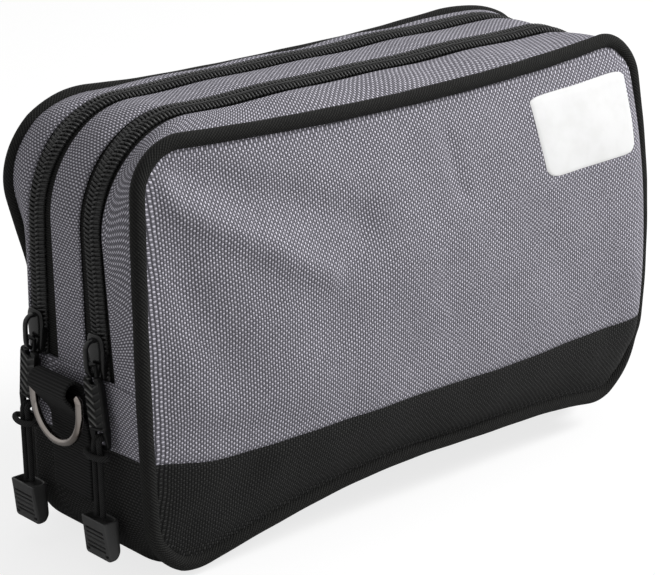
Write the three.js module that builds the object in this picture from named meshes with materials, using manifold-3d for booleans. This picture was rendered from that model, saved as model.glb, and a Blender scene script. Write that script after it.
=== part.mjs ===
// A zippered tool bag with two compartments, a ring at its left end and a cord pull on each zipper.
// Millimetres, +Z up. The origin lies on the floor under the middle of the bag.
// The front faces -Y, and +X runs to the right as the front is seen.
//
// The whole bag is cut from one master surface, a ring of cloth round the XZ plane that is
// swept from the front rim (v = -1) to the rear rim (v = 1). Along the ring, t runs from 0 to 4:
// up the left end, along the top, down the right end and back along the bottom.
import * as THREE from "three";
import { mergeVertices } from "three/addons/utils/BufferGeometryUtils.js";
import Module from "manifold-3d";

// Driving dimensions of the bag's body
const RIM_HALF_LENGTH = 156; // middle of the piping at the ends of the front and rear
const RIM_HALF_DEPTH = 50; // middle of the piping, front to back
const TOP_HEIGHT = 213.5; // cloth over the divider
const FRONT_DROP = 3; // drop of the top cloth from its middle to the front rim
const REAR_DROP = 1;
const END_BULGE = 7; // how far the ends stand out beyond the rims
const FRONT_CORNER = 22;
const REAR_CORNER = 48;
const ZIP_CORNER = 50; // radius of the zippers' bends over the top corners
const FOOT_CORNER = 28; // lower corners at the front rim
const REAR_FOOT_CORNER = 19;
const ROUND_FOOT_CORNER = 32; // lower corners between the rims
const RIM_FOOT = 4.1; // height of the middle of the lower piping over the floor
const FRONT_CROWN = 18; // how far the filled front swells beyond its rim
const REAR_CROWN = 13;
const FRONT_SAG = 4.5; // of a rim's top run, at its middle
const REAR_SAG = 8;
const REAR_SAG_HALF = 140; // it ends this far from the middle
const REAR_SAG_POWER = 3; // higher is flatter
const CROWN_ACROSS = 3.2; // powers of the swell's shape along and up the front and rear: higher is squarer
const CROWN_RIGHT = 25; // along the front's right half, which stands out squarely over its piping
const CROWN_UPWARDS = 2.6;
const RUN_BLEND = 4; // how soon a row nears the shape of the top or bottom run
const FOOT_ARCH = 22.5; // rise of the rims' bottom run, at its middle
const ARCH_POWER = 1.15; // higher keeps it lower near the corners
const ARCH_START = 0.2; // share of the half depth where the base starts to rise towards that
const LEFT_BOW = 9; // how far the front rim's end runs bow outwards
const RIGHT_BOW = 1;
const FRONT_SWELL = 9; // how far the front rim's runs stand forward of their corners
const REAR_SWELL = 3; // and the rear rim's, backwards
const RIGHT_START = 0.1; // share of the half length where the right end's own shape begins
const RIGHT_LIFT = 12.5; // the rims' lower right corners hang this much over the left ones
const RIGHT_TAPER = 4.5; // the front's right corners are drawn in by this
const TUCK_HEIGHT = 108; // where the rear rim's ends are drawn in most
const REAR_TUCK = 12.5; // and by how much
const REAR_FLARE = 7; // its lower corners stand out from there by this
const REAR_REACH = 3.5; // its upper corners stand out by this
const REAR_RIGHT_REACH = 20; // and the right one by this much more

// Heights of the horizontal seams
const BAND_SEAM = 60; // black base cloth below, grey cloth above
const FOLD_SEAM = 96; // lower ends of the zippers, where a flap folds

// Cloth, trim and clearances
const CLOTH = 1.6;
const PIPING_RADIUS = 3.6;
const SEAM_GAP = 0.3; // between pieces that are sewn to each other
const PIPING_SPLIT = 1.2; // gap where the piping bends with a flap's fold
const LABEL_THICKNESS = 0.6;
const LABEL_LEFT = 0.715; // edges of the blank label, as shares of the front's length and height grid
const LABEL_RIGHT = 0.944;
const LABEL_LOW = 0.665;
const LABEL_HIGH = 0.885;

// Zippers
const ZIP_TOP_Y = 20; // middle of a zipper on the top run, from the divider
const ZIP_SPREAD = 5; // more than that at the lower ends
const ZIP_HALF_OPENING = 8.75; // from a zipper's middle to the gusset cloth
const LIP_SPREAD = 5; // the outer gusset's edge moves out by this at its lower ends
const LIP_START = 170; // from this height down
const TAPE_DEPTH = 1.2; // tape face below the gusset cloth's face
const TAPE = 0.8;
const COIL_WIDTH = 4.2;
const COIL_PROUD = 1.6; // coil above the gusset cloth's face
const COIL_SLOT = 0.8; // half the gap between the two coils

// Sliders
const SLIDER_HEIGHT = 108; // middle of a closed zipper's slider
const SLIDER_LENGTH = 22;
const SLIDER_HEAD = 6.2; // half widths
const SLIDER_TAIL = 4.6;
const SLIDER_PLATE = 1.6;
const RUN_GAP = 0.5; // slider to coil and tape
const POST_HALF_WIDTH = 0.5;
const BRIDGE_HALF_WIDTH = 1.3;
const BRIDGE_HEIGHT = 5.5; // over the slider's face
const BRIDGE_WALL = 1.7;
const BRIDGE_HALF_LENGTH = 8.5;
const WINDOW_HALF_LENGTH = 4.2; // opening under the bridge

// Pull tabs, their cords and the moulded cord ends
const TAB_BAR = 0.9; // radius of the bar under the bridge
const TAB_LENGTH = 40; // from the bar
const TAB_HALF_WIDTH = 6.3;
const TAB_THICKNESS = 4;
const TAB_NECK = 9; // from the bar to the tab's shoulders
const TAB_LEAN = 7.6; // degrees that a tab hangs outwards, which keeps it clear of the ring
const ARM_GAP = 0.8; // arms to bridge
const ARM_WIDTH = 1.6;
const LUG_LENGTH = 11; // thin lower end with the cord's hole
const LUG_THICKNESS = 1.8;
const LUG_RIM = 2; // material under the hole
const LUG_HOLE_HEIGHT = 7;
const LUG_HOLE_WIDTH = 7;
const CORD_RADIUS = 1.4;
const CORD_SPREAD = 2.2; // half the distance between the two strands
const CORD_GAP = 0.4; // cord to tab
const TURN_HALF_WIDTH = 8; // of the turn round both strands
const GRIP_DROP = 30.9; // strands between the turn and the moulded end
const GRIP_HEIGHT = 20;
const GRIP_HALF_TOP = 9.2;
const GRIP_HALF_FOOT = 9.8;
const GRIP_THICKNESS = 9.6;
const GRIP_SLOTS = 5;
const GRIP_SLOT_DEPTH = 0.8;
const GRIP_SLOT_PITCH = 2.4;
const GRIP_SHOULDER = 5.6; // straight sides at the top, down to the first slot

// Ring and its webbing loop on the left end
const RING_WIRE = 1.95; // radius
const RING_HALF_WIDTH = 18.6; // to the middle of the wire
const RING_STRAIGHT = 7;
const WEB_HALF_WIDTH = 15;
const WEB_THICKNESS = 1.4;
const WEB_FOOT = 34; // height of the webbing's sewn lower end
const LOOP_OUT = 9.6; // middle of the loop, out from the end cloth
const LOOP_HEIGHT = 89;
const LOOP_RADIUS = 4.4; // inside
const LOOP_END_ANGLE = -0.63; // where the front layer leaves the loop, in radians under its middle
const BEND_STEPS = 16; // facets of the ring's bend and of the loop

// The ring parameter at the named places of one end: middle of the foot corner, its upper end,
// the two seams, the lower end of the top corner and that corner's middle.
const CORNER_SHARE = 0.1;
const BAND_SHARE = 0.25;
const FOLD_SHARE = 0.4;
const TOP_SHARE = 0.85;
const SEAMS_MIDDLE = (BAND_SHARE + FOLD_SHARE) / 2;

// The ring parameter at the middle of the top and of the bottom
const TOP_MIDDLE = 1.5;
const FOOT_MIDDLE = 3.5;

const wasm = await Module();
wasm.setup();

const clamp = (a) => Math.min(1, Math.max(0, a));
const smooth = (a) => clamp(a) ** 2 * (3 - 2 * clamp(a));
const mix = (a, b, s) => a + (b - a) * s;
const EIGHTH = Math.PI / 4;

const zipOuter = (ZIP_TOP_Y + ZIP_HALF_OPENING) / RIM_HALF_DEPTH;
const zipInner = (ZIP_TOP_Y - ZIP_HALF_OPENING) / RIM_HALF_DEPTH;
const coilFar = (ZIP_TOP_Y + COIL_SLOT + COIL_WIDTH) / RIM_HALF_DEPTH; // outer edges of a zipper's two coils
const coilNear = (ZIP_TOP_Y - COIL_SLOT - COIL_WIDTH) / RIM_HALF_DEPTH;
const endOut = RIM_HALF_LENGTH + END_BULGE; // the end cloth's distance from the middle
const gussetEdge = RIM_HALF_DEPTH - PIPING_RADIUS - SEAM_GAP; // where the gusset cloth meets the piping

// Sizes of the ring at depth v: half length, top, foot and corner radii.
function ringSizes(v) {
  const inner = smooth((1 - Math.abs(v)) / (1 - zipOuter));
  return {
    half: RIM_HALF_LENGTH + END_BULGE * inner,
    top: TOP_HEIGHT - (v < 0 ? FRONT_DROP : REAR_DROP) * v * v,
    foot: RIM_FOOT * (1 - inner),
    topCorner: mix(v < 0 ? FRONT_CORNER : REAR_CORNER, ZIP_CORNER, inner),
    footCorner: mix(v < 0 ? FOOT_CORNER : REAR_FOOT_CORNER, ROUND_FOOT_CORNER, inner),
  };
}

// One end of the ring, as [distance out from the middle, height], for q from 0 to 1.
function endPoint(q, s, inset) {
  const half = s.half - inset;
  const lowest = s.foot + s.footCorner;
  const highest = s.top - s.topCorner;
  const footRadius = s.footCorner - inset;
  const topRadius = s.topCorner - inset;
  if (q < CORNER_SHARE) {
    const angle = EIGHTH * (1 - q / CORNER_SHARE);
    return [s.half - s.footCorner + footRadius * Math.cos(angle), lowest - footRadius * Math.sin(angle)];
  }
  if (q < BAND_SHARE) {
    return [half, mix(lowest, BAND_SEAM, (q - CORNER_SHARE) / (BAND_SHARE - CORNER_SHARE))];
  }
  if (q < FOLD_SHARE) {
    return [half, mix(BAND_SEAM, FOLD_SEAM, (q - BAND_SHARE) / (FOLD_SHARE - BAND_SHARE))];
  }
  if (q < TOP_SHARE) {
    return [half, mix(FOLD_SEAM, highest, (q - FOLD_SHARE) / (TOP_SHARE - FOLD_SHARE))];
  }
  const angle = (EIGHTH * (q - TOP_SHARE)) / (1 - TOP_SHARE);
  return [s.half - s.topCorner + topRadius * Math.cos(angle), highest + topRadius * Math.sin(angle)];
}

// The top or bottom run, as [x, height], for p from 0 at the left to 1 at the right.
function runPoint(p, s, inset, atTop) {
  const corner = atTop ? s.topCorner : s.footCorner;
  const radius = corner - inset;
  const side = p < 0.5 ? -1 : 1;
  const share = Math.min(p, 1 - p) / CORNER_SHARE;
  const straight = s.half - corner;
  const reach = atTop ? s.top - corner : s.foot + corner;
  const up = atTop ? 1 : -1;
  if (share < 1) {
    const angle = EIGHTH * (1 + share);
    return [side * (straight + radius * Math.cos(angle)), reach + up * radius * Math.sin(angle)];
  }
  const along = (p - CORNER_SHARE) / (1 - 2 * CORNER_SHARE);
  return [mix(-straight, straight, along), reach + up * radius];
}

// How far a zipper's line has moved outwards from its place on the top run, at a height.
function zipSpread(height) {
  return ZIP_SPREAD * clamp((TOP_HEIGHT - height) / (TOP_HEIGHT - FOLD_SEAM));
}

// Sideways shift of the ring at a depth: none at the middle cloth's edge, the zipper's own on its
// coils, the outer gusset's at its folded edge and none again at the piping.
function zipShift(depth, height) {
  const lip = LIP_SPREAD * clamp((LIP_START - height) / (LIP_START - FOLD_SEAM));
  const coil = zipSpread(height) * smooth((depth - zipInner) / (coilNear - zipInner));
  const edge = smooth((depth - zipOuter) / (gussetEdge / RIM_HALF_DEPTH - zipOuter));
  return mix(coil, lip, smooth((depth - coilFar) / (zipOuter - coilFar))) * (1 - edge);
}

// The master surface at ring parameter t and depth v, moved inwards by inset.
function ringPoint(t, v, inset = 0) {
  const turn = ((t % 4) + 4) % 4;
  const s = ringSizes(v);
  let [x, z] = [0, 0];
  if (turn < 1) {
    [x, z] = endPoint(turn, s, inset);
    x = -x;
  } else if (turn < 2) {
    [x, z] = runPoint(turn - 1, s, inset, true);
  } else if (turn < 3) {
    [x, z] = endPoint(3 - turn, s, inset);
  } else {
    [x, z] = runPoint(4 - turn, s, inset, false);
  }
  const depth = Math.abs(v);
  const side = Math.sign(v);
  const rim = smooth((depth - zipOuter) / (1 - zipOuter));
  const middle = TOP_HEIGHT / 2;
  const alongRun = clamp(1 - (x / RIM_HALF_LENGTH) ** 2);
  const alongEnd = clamp(1 - ((z - middle) / middle) ** 2);
  const swell = (v < 0 ? FRONT_SWELL : REAR_SWELL) * rim * (alongRun + alongEnd - alongRun * alongEnd);
  const y = RIM_HALF_DEPTH * v + side * (zipShift(depth, z) + swell);
  const low = 1 - smooth((z - FOOT_CORNER) / (BAND_SEAM - FOOT_CORNER));
  const high = smooth((z - FOLD_SEAM) / (TOP_HEIGHT - FRONT_CORNER - FOLD_SEAM));
  const right = smooth((x / RIM_HALF_LENGTH - RIGHT_START) / (1 - RIGHT_START));
  const archRun = clamp(1 - (x / (RIM_HALF_LENGTH - FOOT_CORNER / 2)) ** 2);
  const base = smooth((depth - ARCH_START) / (1 - ARCH_START));
  const rise = (FOOT_ARCH * archRun ** ARCH_POWER + RIGHT_LIFT * right) * low * base;
  const sagRun = clamp(1 - Math.abs(x / REAR_SAG_HALF) ** REAR_SAG_POWER);
  const sag = (v < 0 ? FRONT_SAG * alongRun : REAR_SAG * sagRun) * high;
  const front = x < 0 ? LEFT_BOW * alongEnd : RIGHT_BOW * alongEnd - RIGHT_TAPER * (1 - alongEnd);
  const upper = smooth((z - TUCK_HEIGHT) / (TOP_HEIGHT - FRONT_CORNER - TUCK_HEIGHT));
  const lower = 1 - smooth((z - FOOT_CORNER) / (TUCK_HEIGHT - FOOT_CORNER));
  const reach = (REAR_REACH + REAR_RIGHT_REACH * right) * upper;
  const rear = reach - REAR_TUCK * (1 - upper) + REAR_FLARE * lower;
  const nearEnd = smooth((Math.abs(x) / RIM_HALF_LENGTH - 0.5) * 2);
  const out = Math.sign(x) * nearEnd * (v < 0 ? front : rear) * rim;
  return new THREE.Vector3(x + out, y, z + rise - sag * rim);
}

// Height share of a row of the front or rear, for its crown.
function heightShare(q) {
  const stops = [0, CORNER_SHARE, BAND_SHARE, FOLD_SHARE, TOP_SHARE, 1];
  const heights = [0, FOOT_CORNER, BAND_SEAM, FOLD_SEAM, TOP_HEIGHT - FRONT_CORNER, TOP_HEIGHT];
  let i = 0;
  while (i < stops.length - 2 && q > stops[i + 1]) i += 1;
  return mix(heights[i], heights[i + 1], (q - stops[i]) / (stops[i + 1] - stops[i])) / TOP_HEIGHT;
}

// The crowned front (side -1) or rear (side 1): rows between the rim's two end runs, which take up
// the shapes of its bottom and top runs as they near them.
function panelSheet(side, p, q) {
  const inset = PIPING_RADIUS + 2 * SEAM_GAP;
  const at = (t) => ringPoint(t, side, inset);
  const sum = at(q).lerp(at(3 - q), p);
  const bottom = at(4 - p).sub(at(0).lerp(at(3), p));
  const top = at(1 + p).sub(at(1).lerp(at(2), p));
  sum.addScaledVector(bottom, (1 - q) ** RUN_BLEND).addScaledVector(top, q ** RUN_BLEND);
  const crown = side < 0 ? FRONT_CROWN : REAR_CROWN;
  const across = 1 - Math.abs(2 * p - 1) ** (side < 0 && p > 0.5 ? CROWN_RIGHT : CROWN_ACROSS);
  const upwards = 1 - Math.abs(2 * heightShare(q) - 1) ** CROWN_UPWARDS;
  sum.y += side * crown * across * upwards;
  return sum;
}

// A point of a front or rear panel, moved inwards by depth along the sheet's normal.
function panelPoint(side, p, q, depth) {
  const step = 0.004;
  const p0 = Math.max(0, p - step);
  const p1 = Math.min(1, p + step);
  const q0 = Math.max(0, q - step);
  const q1 = Math.min(1, q + step);
  const across = panelSheet(side, p1, q).sub(panelSheet(side, p0, q));
  const upwards = panelSheet(side, p, q1).sub(panelSheet(side, p, q0));
  const inwards = across.cross(upwards).normalize().multiplyScalar(side < 0 ? -1 : 1);
  inwards.y = -side * Math.abs(inwards.y);
  return panelSheet(side, p, q).addScaledVector(inwards, depth);
}

// A closed solid between two faces on one grid; face(i, j, 0) is outside and face(i, j, 1) inside.
function slab(face, columns, rows, flip) {
  const position = [];
  const index = [];
  const id = (i, j, k) => (k * (rows + 1) + j) * (columns + 1) + i;
  for (let k = 0; k < 2; k += 1) {
    for (let j = 0; j <= rows; j += 1) {
      for (let i = 0; i <= columns; i += 1) position.push(...face(i / columns, j / rows, k).toArray());
    }
  }
  const quad = (a, b, c, d) => (flip ? index.push(a, c, b, a, d, c) : index.push(a, b, c, a, c, d));
  for (let j = 0; j < rows; j += 1) {
    for (let i = 0; i < columns; i += 1) {
      quad(id(i, j, 0), id(i + 1, j, 0), id(i + 1, j + 1, 0), id(i, j + 1, 0));
      quad(id(i, j, 1), id(i, j + 1, 1), id(i + 1, j + 1, 1), id(i + 1, j, 1));
    }
  }
  for (let i = 0; i < columns; i += 1) {
    quad(id(i, 0, 0), id(i, 0, 1), id(i + 1, 0, 1), id(i + 1, 0, 0));
    quad(id(i, rows, 0), id(i + 1, rows, 0), id(i + 1, rows, 1), id(i, rows, 1));
  }
  for (let j = 0; j < rows; j += 1) {
    quad(id(0, j, 0), id(0, j + 1, 0), id(0, j + 1, 1), id(0, j, 1));
    quad(id(columns, j, 0), id(columns, j, 1), id(columns, j + 1, 1), id(columns, j + 1, 0));
  }
  const geometry = new THREE.BufferGeometry();
  geometry.setAttribute("position", new THREE.Float32BufferAttribute(position, 3));
  geometry.setIndex(index);
  return geometry;
}

// Ring parameters of the places where a piece starts and ends, with a grid that follows the bends.
const seamShare = SEAM_GAP / 2 / ((FOLD_SEAM - BAND_SEAM) / (FOLD_SHARE - BAND_SHARE));
const pipingShare = PIPING_SPLIT / SEAM_GAP * seamShare;
const aboveFold = FOLD_SHARE + seamShare;
const belowFold = FOLD_SHARE - seamShare;
const aboveBand = BAND_SHARE + seamShare;
const belowBand = BAND_SHARE - seamShare;

// Stations of the run over the top, from one lower end of the zippers to the other.
function overStations() {
  const end = [aboveFold, 0.5, 0.6, 0.7, 0.78, TOP_SHARE, 0.88, 0.91, 0.94, 0.97, 1];
  const corner = [0.02, 0.04, 0.06, 0.08, CORNER_SHARE];
  const run = [0.2, 0.3, 0.4, 0.5];
  const left = [...end, ...corner.map((p) => 1 + p), ...run.map((p) => 1 + p)];
  return [...left, ...left.slice(0, -1).map((t) => 2 * TOP_MIDDLE - t).reverse()];
}

// Stations of the run under the bottom, from the right end's band seam to the left end's.
function underStations() {
  const end = [belowBand, 0.18, CORNER_SHARE, 0.07, 0.035, 0];
  const corner = [0.035, 0.07, CORNER_SHARE];
  const run = [0.2, 0.3, 0.4, 0.5];
  const right = [...end.map((q) => 3 - q), ...corner.map((p) => 3 + p), ...run.map((p) => 3 + p)];
  return [...right, ...right.slice(0, -1).map((t) => 2 * FOOT_MIDDLE - t).reverse()];
}

const OVER = overStations();
const UNDER = underStations();

// A band of cloth along the ring between two distances from the divider, in millimetres on the top run.
function band(stations, y0, y1, outside, inside, rows) {
  const face = (a, b, k) => {
    const t = stations[Math.round(a * (stations.length - 1))];
    return ringPoint(t, mix(y0, y1, b) / RIM_HALF_DEPTH, k ? inside : outside);
  };
  return slab(face, stations.length - 1, rows, false);
}

// Part of the front or rear between two rows.
function panel(side, q0, q1, columns, rows) {
  const face = (a, b, k) => panelPoint(side, a, mix(q0, q1, b), k * CLOTH);
  return slab(face, columns, rows, side > 0);
}

// A round bar along a list of points.
function tube(points, radius, sides, steps) {
  const section = new THREE.Shape();
  for (let i = 0; i < sides; i += 1) {
    const angle = (2 * Math.PI * i) / sides;
    const [x, y] = [radius * Math.cos(angle), radius * Math.sin(angle)];
    if (i) section.lineTo(x, y);
    else section.moveTo(x, y);
  }
  section.closePath();
  const path = new THREE.CatmullRomCurve3(points, false, "centripetal");
  return new THREE.ExtrudeGeometry(section, { steps, bevelEnabled: false, extrudePath: path });
}

function piping(side, stations) {
  const points = stations.map((t) => ringPoint(t, side));
  return tube(points, PIPING_RADIUS, 6, 2 * stations.length);
}

// Boolean work: a geometry as a solid, and a solid as a geometry.
function solid(geometry) {
  const bare = geometry.clone();
  for (const name of ["normal", "uv"]) bare.deleteAttribute(name);
  const merged = mergeVertices(bare, 1e-4);
  const vertProperties = new Float32Array(merged.attributes.position.array);
  const triVerts = new Uint32Array(merged.index.array);
  return new wasm.Manifold(new wasm.Mesh({ numProp: 3, vertProperties, triVerts }));
}

function geometryOf(body) {
  const mesh = body.getMesh();
  const geometry = new THREE.BufferGeometry();
  geometry.setAttribute("position", new THREE.BufferAttribute(mesh.vertProperties, 3));
  geometry.setIndex(new THREE.BufferAttribute(mesh.triVerts, 1));
  return geometry;
}

const join = (...pieces) => geometryOf(pieces.map(solid).reduce((a, b) => a.add(b)));
const cut = (piece, ...tools) => geometryOf(tools.map(solid).reduce((a, b) => a.subtract(b), solid(piece)));

// A block between two corners.
function block(x0, x1, y0, y1, z0, z1) {
  const geometry = new THREE.BoxGeometry(x1 - x0, y1 - y0, z1 - z0);
  return geometry.translate((x0 + x1) / 2, (y0 + y1) / 2, (z0 + z1) / 2);
}

// An outline given as [out, height] points, made thick along Y about the middle. Out is -X.
function profileAlongY(outline, halfWidth, hole) {
  const shape = new THREE.Shape(outline.map(([out, height]) => new THREE.Vector2(out, height)));
  if (hole) shape.holes.push(hole);
  const geometry = new THREE.ExtrudeGeometry(shape, { depth: 2 * halfWidth, bevelEnabled: false, curveSegments: 10 });
  return geometry.translate(0, 0, -halfWidth).rotateX(Math.PI / 2).rotateZ(Math.PI);
}

// An outline given as [y, height] points, made thick in the out direction from out0 to out1.
function profileAlongX(outline, out0, out1, hole) {
  const shape = new THREE.Shape(outline.map(([y, height]) => new THREE.Vector2(y, height)));
  if (hole) shape.holes.push(hole);
  const geometry = new THREE.ExtrudeGeometry(shape, { depth: out1 - out0, bevelEnabled: false, curveSegments: 10 });
  return geometry.rotateX(Math.PI / 2).rotateZ(Math.PI / 2).translate(-out1, 0, 0);
}

// The divider between the two compartments, inside the cloth all round.
function divider() {
  const shape = new THREE.Shape();
  const stations = [...OVER, ...UNDER];
  stations.forEach((t, i) => {
    const { x, z } = ringPoint(t, 0, CLOTH + SEAM_GAP);
    if (i) shape.lineTo(x, z);
    else shape.moveTo(x, z);
  });
  shape.closePath();
  const geometry = new THREE.ExtrudeGeometry(shape, { depth: CLOTH, bevelEnabled: false });
  return geometry.translate(0, 0, -CLOTH / 2).rotateX(Math.PI / 2);
}

// Slider: a plate over the coils and one under the tapes, joined by a post in the slot between
// the coils, with a bridge over the outer plate. It is modelled about its own middle.
const plateFace = COIL_PROUD + RUN_GAP; // underside of the outer plate
const plateTop = plateFace + SLIDER_PLATE;
const backFace = -(TAPE_DEPTH + TAPE + RUN_GAP);
const halfSlider = SLIDER_LENGTH / 2;

function slider() {
  const outline = [
    [-SLIDER_TAIL, -halfSlider],
    [SLIDER_TAIL, -halfSlider],
    [SLIDER_HEAD, halfSlider / 3],
    [SLIDER_HEAD - 1, halfSlider],
    [-SLIDER_HEAD + 1, halfSlider],
    [-SLIDER_HEAD, halfSlider / 3],
  ];
  const overlap = 0.2;
  const post = block(-plateFace - overlap, -backFace + overlap, -POST_HALF_WIDTH, POST_HALF_WIDTH, 3, halfSlider - 1);
  const outer = plateTop + BRIDGE_HEIGHT;
  const inner = outer - BRIDGE_WALL;
  const arch = [
    [plateTop - overlap, -BRIDGE_HALF_LENGTH],
    [plateTop + 2, -BRIDGE_HALF_LENGTH],
    [outer, -WINDOW_HALF_LENGTH - 1],
    [outer, WINDOW_HALF_LENGTH + 1],
    [plateTop + 2, BRIDGE_HALF_LENGTH],
    [plateTop - overlap, BRIDGE_HALF_LENGTH],
    [plateTop - overlap, WINDOW_HALF_LENGTH],
    [inner, WINDOW_HALF_LENGTH],
    [inner, -WINDOW_HALF_LENGTH],
    [plateTop - overlap, -WINDOW_HALF_LENGTH],
  ];
  return join(
    profileAlongX(outline, plateFace, plateTop),
    profileAlongX(outline, backFace - SLIDER_PLATE, backFace),
    post,
    profileAlongY(arch, BRIDGE_HALF_WIDTH),
  );
}

// The tab's bar lies at the lower end of the window, and the tab is modelled about that bar.
const barOut = plateTop + (BRIDGE_HEIGHT - BRIDGE_WALL) / 2;
const barDrop = WINDOW_HALF_LENGTH - TAB_BAR - SEAM_GAP;

function pullTab() {
  const armInner = BRIDGE_HALF_WIDTH + ARM_GAP;
  const armOuter = armInner + ARM_WIDTH;
  const bar = new THREE.CylinderGeometry(TAB_BAR, TAB_BAR, 2 * armOuter, 10);
  const arms = [-1, 1].map((side) => {
    const [y0, y1] = side < 0 ? [-armOuter, -armInner] : [armInner, armOuter];
    return block(-TAB_BAR, TAB_BAR, y0, y1, -TAB_NECK - 1, 0);
  });
  const lugTop = -TAB_LENGTH + LUG_LENGTH;
  const plate = [
    [-TAB_HALF_WIDTH + 1.5, -TAB_NECK],
    [-TAB_HALF_WIDTH, -TAB_NECK - 3],
    [-TAB_HALF_WIDTH, lugTop],
    [TAB_HALF_WIDTH, lugTop],
    [TAB_HALF_WIDTH, -TAB_NECK - 3],
    [TAB_HALF_WIDTH - 1.5, -TAB_NECK],
  ];
  const lug = [
    [-TAB_HALF_WIDTH, lugTop + 1],
    [-TAB_HALF_WIDTH, -TAB_LENGTH + 2],
    [-TAB_HALF_WIDTH + 2, -TAB_LENGTH],
    [TAB_HALF_WIDTH - 2, -TAB_LENGTH],
    [TAB_HALF_WIDTH, -TAB_LENGTH + 2],
    [TAB_HALF_WIDTH, lugTop + 1],
  ];
  const holeFoot = -TAB_LENGTH + LUG_RIM;
  const body = join(
    bar,
    ...arms,
    profileAlongX(plate, -TAB_THICKNESS / 2, TAB_THICKNESS / 2),
    profileAlongX(lug, -LUG_THICKNESS / 2, LUG_THICKNESS / 2),
  );
  const half = LUG_HOLE_WIDTH / 2;
  return cut(body, block(-TAB_THICKNESS, TAB_THICKNESS, -half, half, holeFoot, holeFoot + LUG_HOLE_HEIGHT));
}

// The cord is modelled about the middle of the tab's hole: out of the moulded end, up, through the
// hole, across behind the tab and back down, with one turn round both strands under the tab.
const holeDrop = TAB_LENGTH - LUG_RIM - LUG_HOLE_HEIGHT / 2;
const strandOut = LUG_THICKNESS / 2 + CORD_GAP + CORD_RADIUS;
const loopBack = LUG_THICKNESS / 2 + CORD_GAP / 2 + CORD_RADIUS;
const turnHeight = -(LUG_RIM + LUG_HOLE_HEIGHT / 2) - 2 * CORD_GAP - CORD_RADIUS;
const gripTop = turnHeight - GRIP_DROP;

function pullCord() {
  const inHole = CORD_RADIUS + CORD_GAP / 2;
  const foot = gripTop + SEAM_GAP;
  const half = [
    [strandOut, CORD_SPREAD, foot],
    [strandOut, CORD_SPREAD, mix(foot, turnHeight, 0.4)],
    [strandOut, CORD_SPREAD, mix(foot, turnHeight, 0.77)],
    [strandOut, CORD_SPREAD, turnHeight],
    [strandOut, CORD_SPREAD, turnHeight / 2],
    [strandOut * 0.8, inHole, -0.6],
    [0, inHole, 0],
    [-loopBack * 0.75, inHole, 0],
    [-loopBack, 0, 0],
  ];
  const vector = ([out, y, z]) => new THREE.Vector3(-out, y, z);
  const mirrored = half.slice(0, -1).map(([out, y, z]) => [out, -y, z]);
  const strands = tube([...half, ...mirrored.reverse()].map(vector), CORD_RADIUS, 8, 40);
  const wrap = new THREE.TorusGeometry(2 * CORD_RADIUS, CORD_RADIUS, 8, 16);
  wrap.scale(1, TURN_HALF_WIDTH / (3 * CORD_RADIUS), 1).translate(-strandOut, 0, turnHeight);
  return join(strands, wrap);
}

// The moulded end of a cord, modelled about the middle of the tab's hole like the cord.
function cordGrip() {
  const foot = gripTop - GRIP_HEIGHT;
  const outline = [
    [-GRIP_HALF_TOP, gripTop],
    [-GRIP_HALF_TOP, gripTop - GRIP_SHOULDER],
    [-GRIP_HALF_FOOT, foot + 2],
    [-GRIP_HALF_FOOT + 2, foot],
    [GRIP_HALF_FOOT - 2, foot],
    [GRIP_HALF_FOOT, foot + 2],
    [GRIP_HALF_TOP, gripTop - GRIP_SHOULDER],
    [GRIP_HALF_TOP, gripTop],
  ];
  const face = strandOut + GRIP_THICKNESS / 2;
  const slots = Array.from({ length: GRIP_SLOTS }, (_, i) => {
    const z = gripTop - GRIP_SHOULDER - i * GRIP_SLOT_PITCH;
    const half = GRIP_HALF_TOP - 2.4;
    return block(-face - 1, -face + GRIP_SLOT_DEPTH, -half, half, z - 0.6, z + 0.6);
  });
  return cut(profileAlongX(outline, face - GRIP_THICKNESS, face), ...slots);
}

// The webbing: two layers sewn to the end, opened round the ring's bar at the top.
function webbing() {
  const radius = LOOP_RADIUS + WEB_THICKNESS;
  const layers = SEAM_GAP + 2 * WEB_THICKNESS;
  const neck = LOOP_HEIGHT - 2.6 * radius;
  const arc = Array.from({ length: BEND_STEPS }, (_, i) => {
    const angle = mix(LOOP_END_ANGLE, Math.PI, i / (BEND_STEPS - 1));
    return [LOOP_OUT + radius * Math.cos(angle), LOOP_HEIGHT + radius * Math.sin(angle)];
  });
  const outline = [[SEAM_GAP, WEB_FOOT], [layers, WEB_FOOT], [layers, neck], ...arc, [SEAM_GAP, LOOP_HEIGHT - radius]];
  const hole = new THREE.Path().absarc(LOOP_OUT, LOOP_HEIGHT, LOOP_RADIUS, 0, 2 * Math.PI, true);
  return profileAlongY(outline, WEB_HALF_WIDTH, hole);
}

// The ring, modelled about its straight bar: a bar along Y and a U of wire below it.
function ring() {
  const points = [new THREE.Vector3(0, RING_HALF_WIDTH, 0), new THREE.Vector3(0, RING_HALF_WIDTH, -RING_STRAIGHT / 2)];
  for (let i = 0; i <= BEND_STEPS; i += 1) {
    const angle = (Math.PI * i) / BEND_STEPS;
    const y = RING_HALF_WIDTH * Math.cos(angle);
    points.push(new THREE.Vector3(0, y, -RING_STRAIGHT - RING_HALF_WIDTH * Math.sin(angle)));
  }
  points.push(new THREE.Vector3(0, -RING_HALF_WIDTH, -RING_STRAIGHT / 2), new THREE.Vector3(0, -RING_HALF_WIDTH, 0));
  const bow = tube(points, RING_WIRE, 8, 26);
  const bar = new THREE.CylinderGeometry(RING_WIRE, RING_WIRE, 2 * RING_HALF_WIDTH, 8);
  const ends = [-1, 1].map((s) => new THREE.SphereGeometry(RING_WIRE, 8, 6).translate(0, s * RING_HALF_WIDTH, 0));
  return join(bow, bar, ...ends);
}

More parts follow.
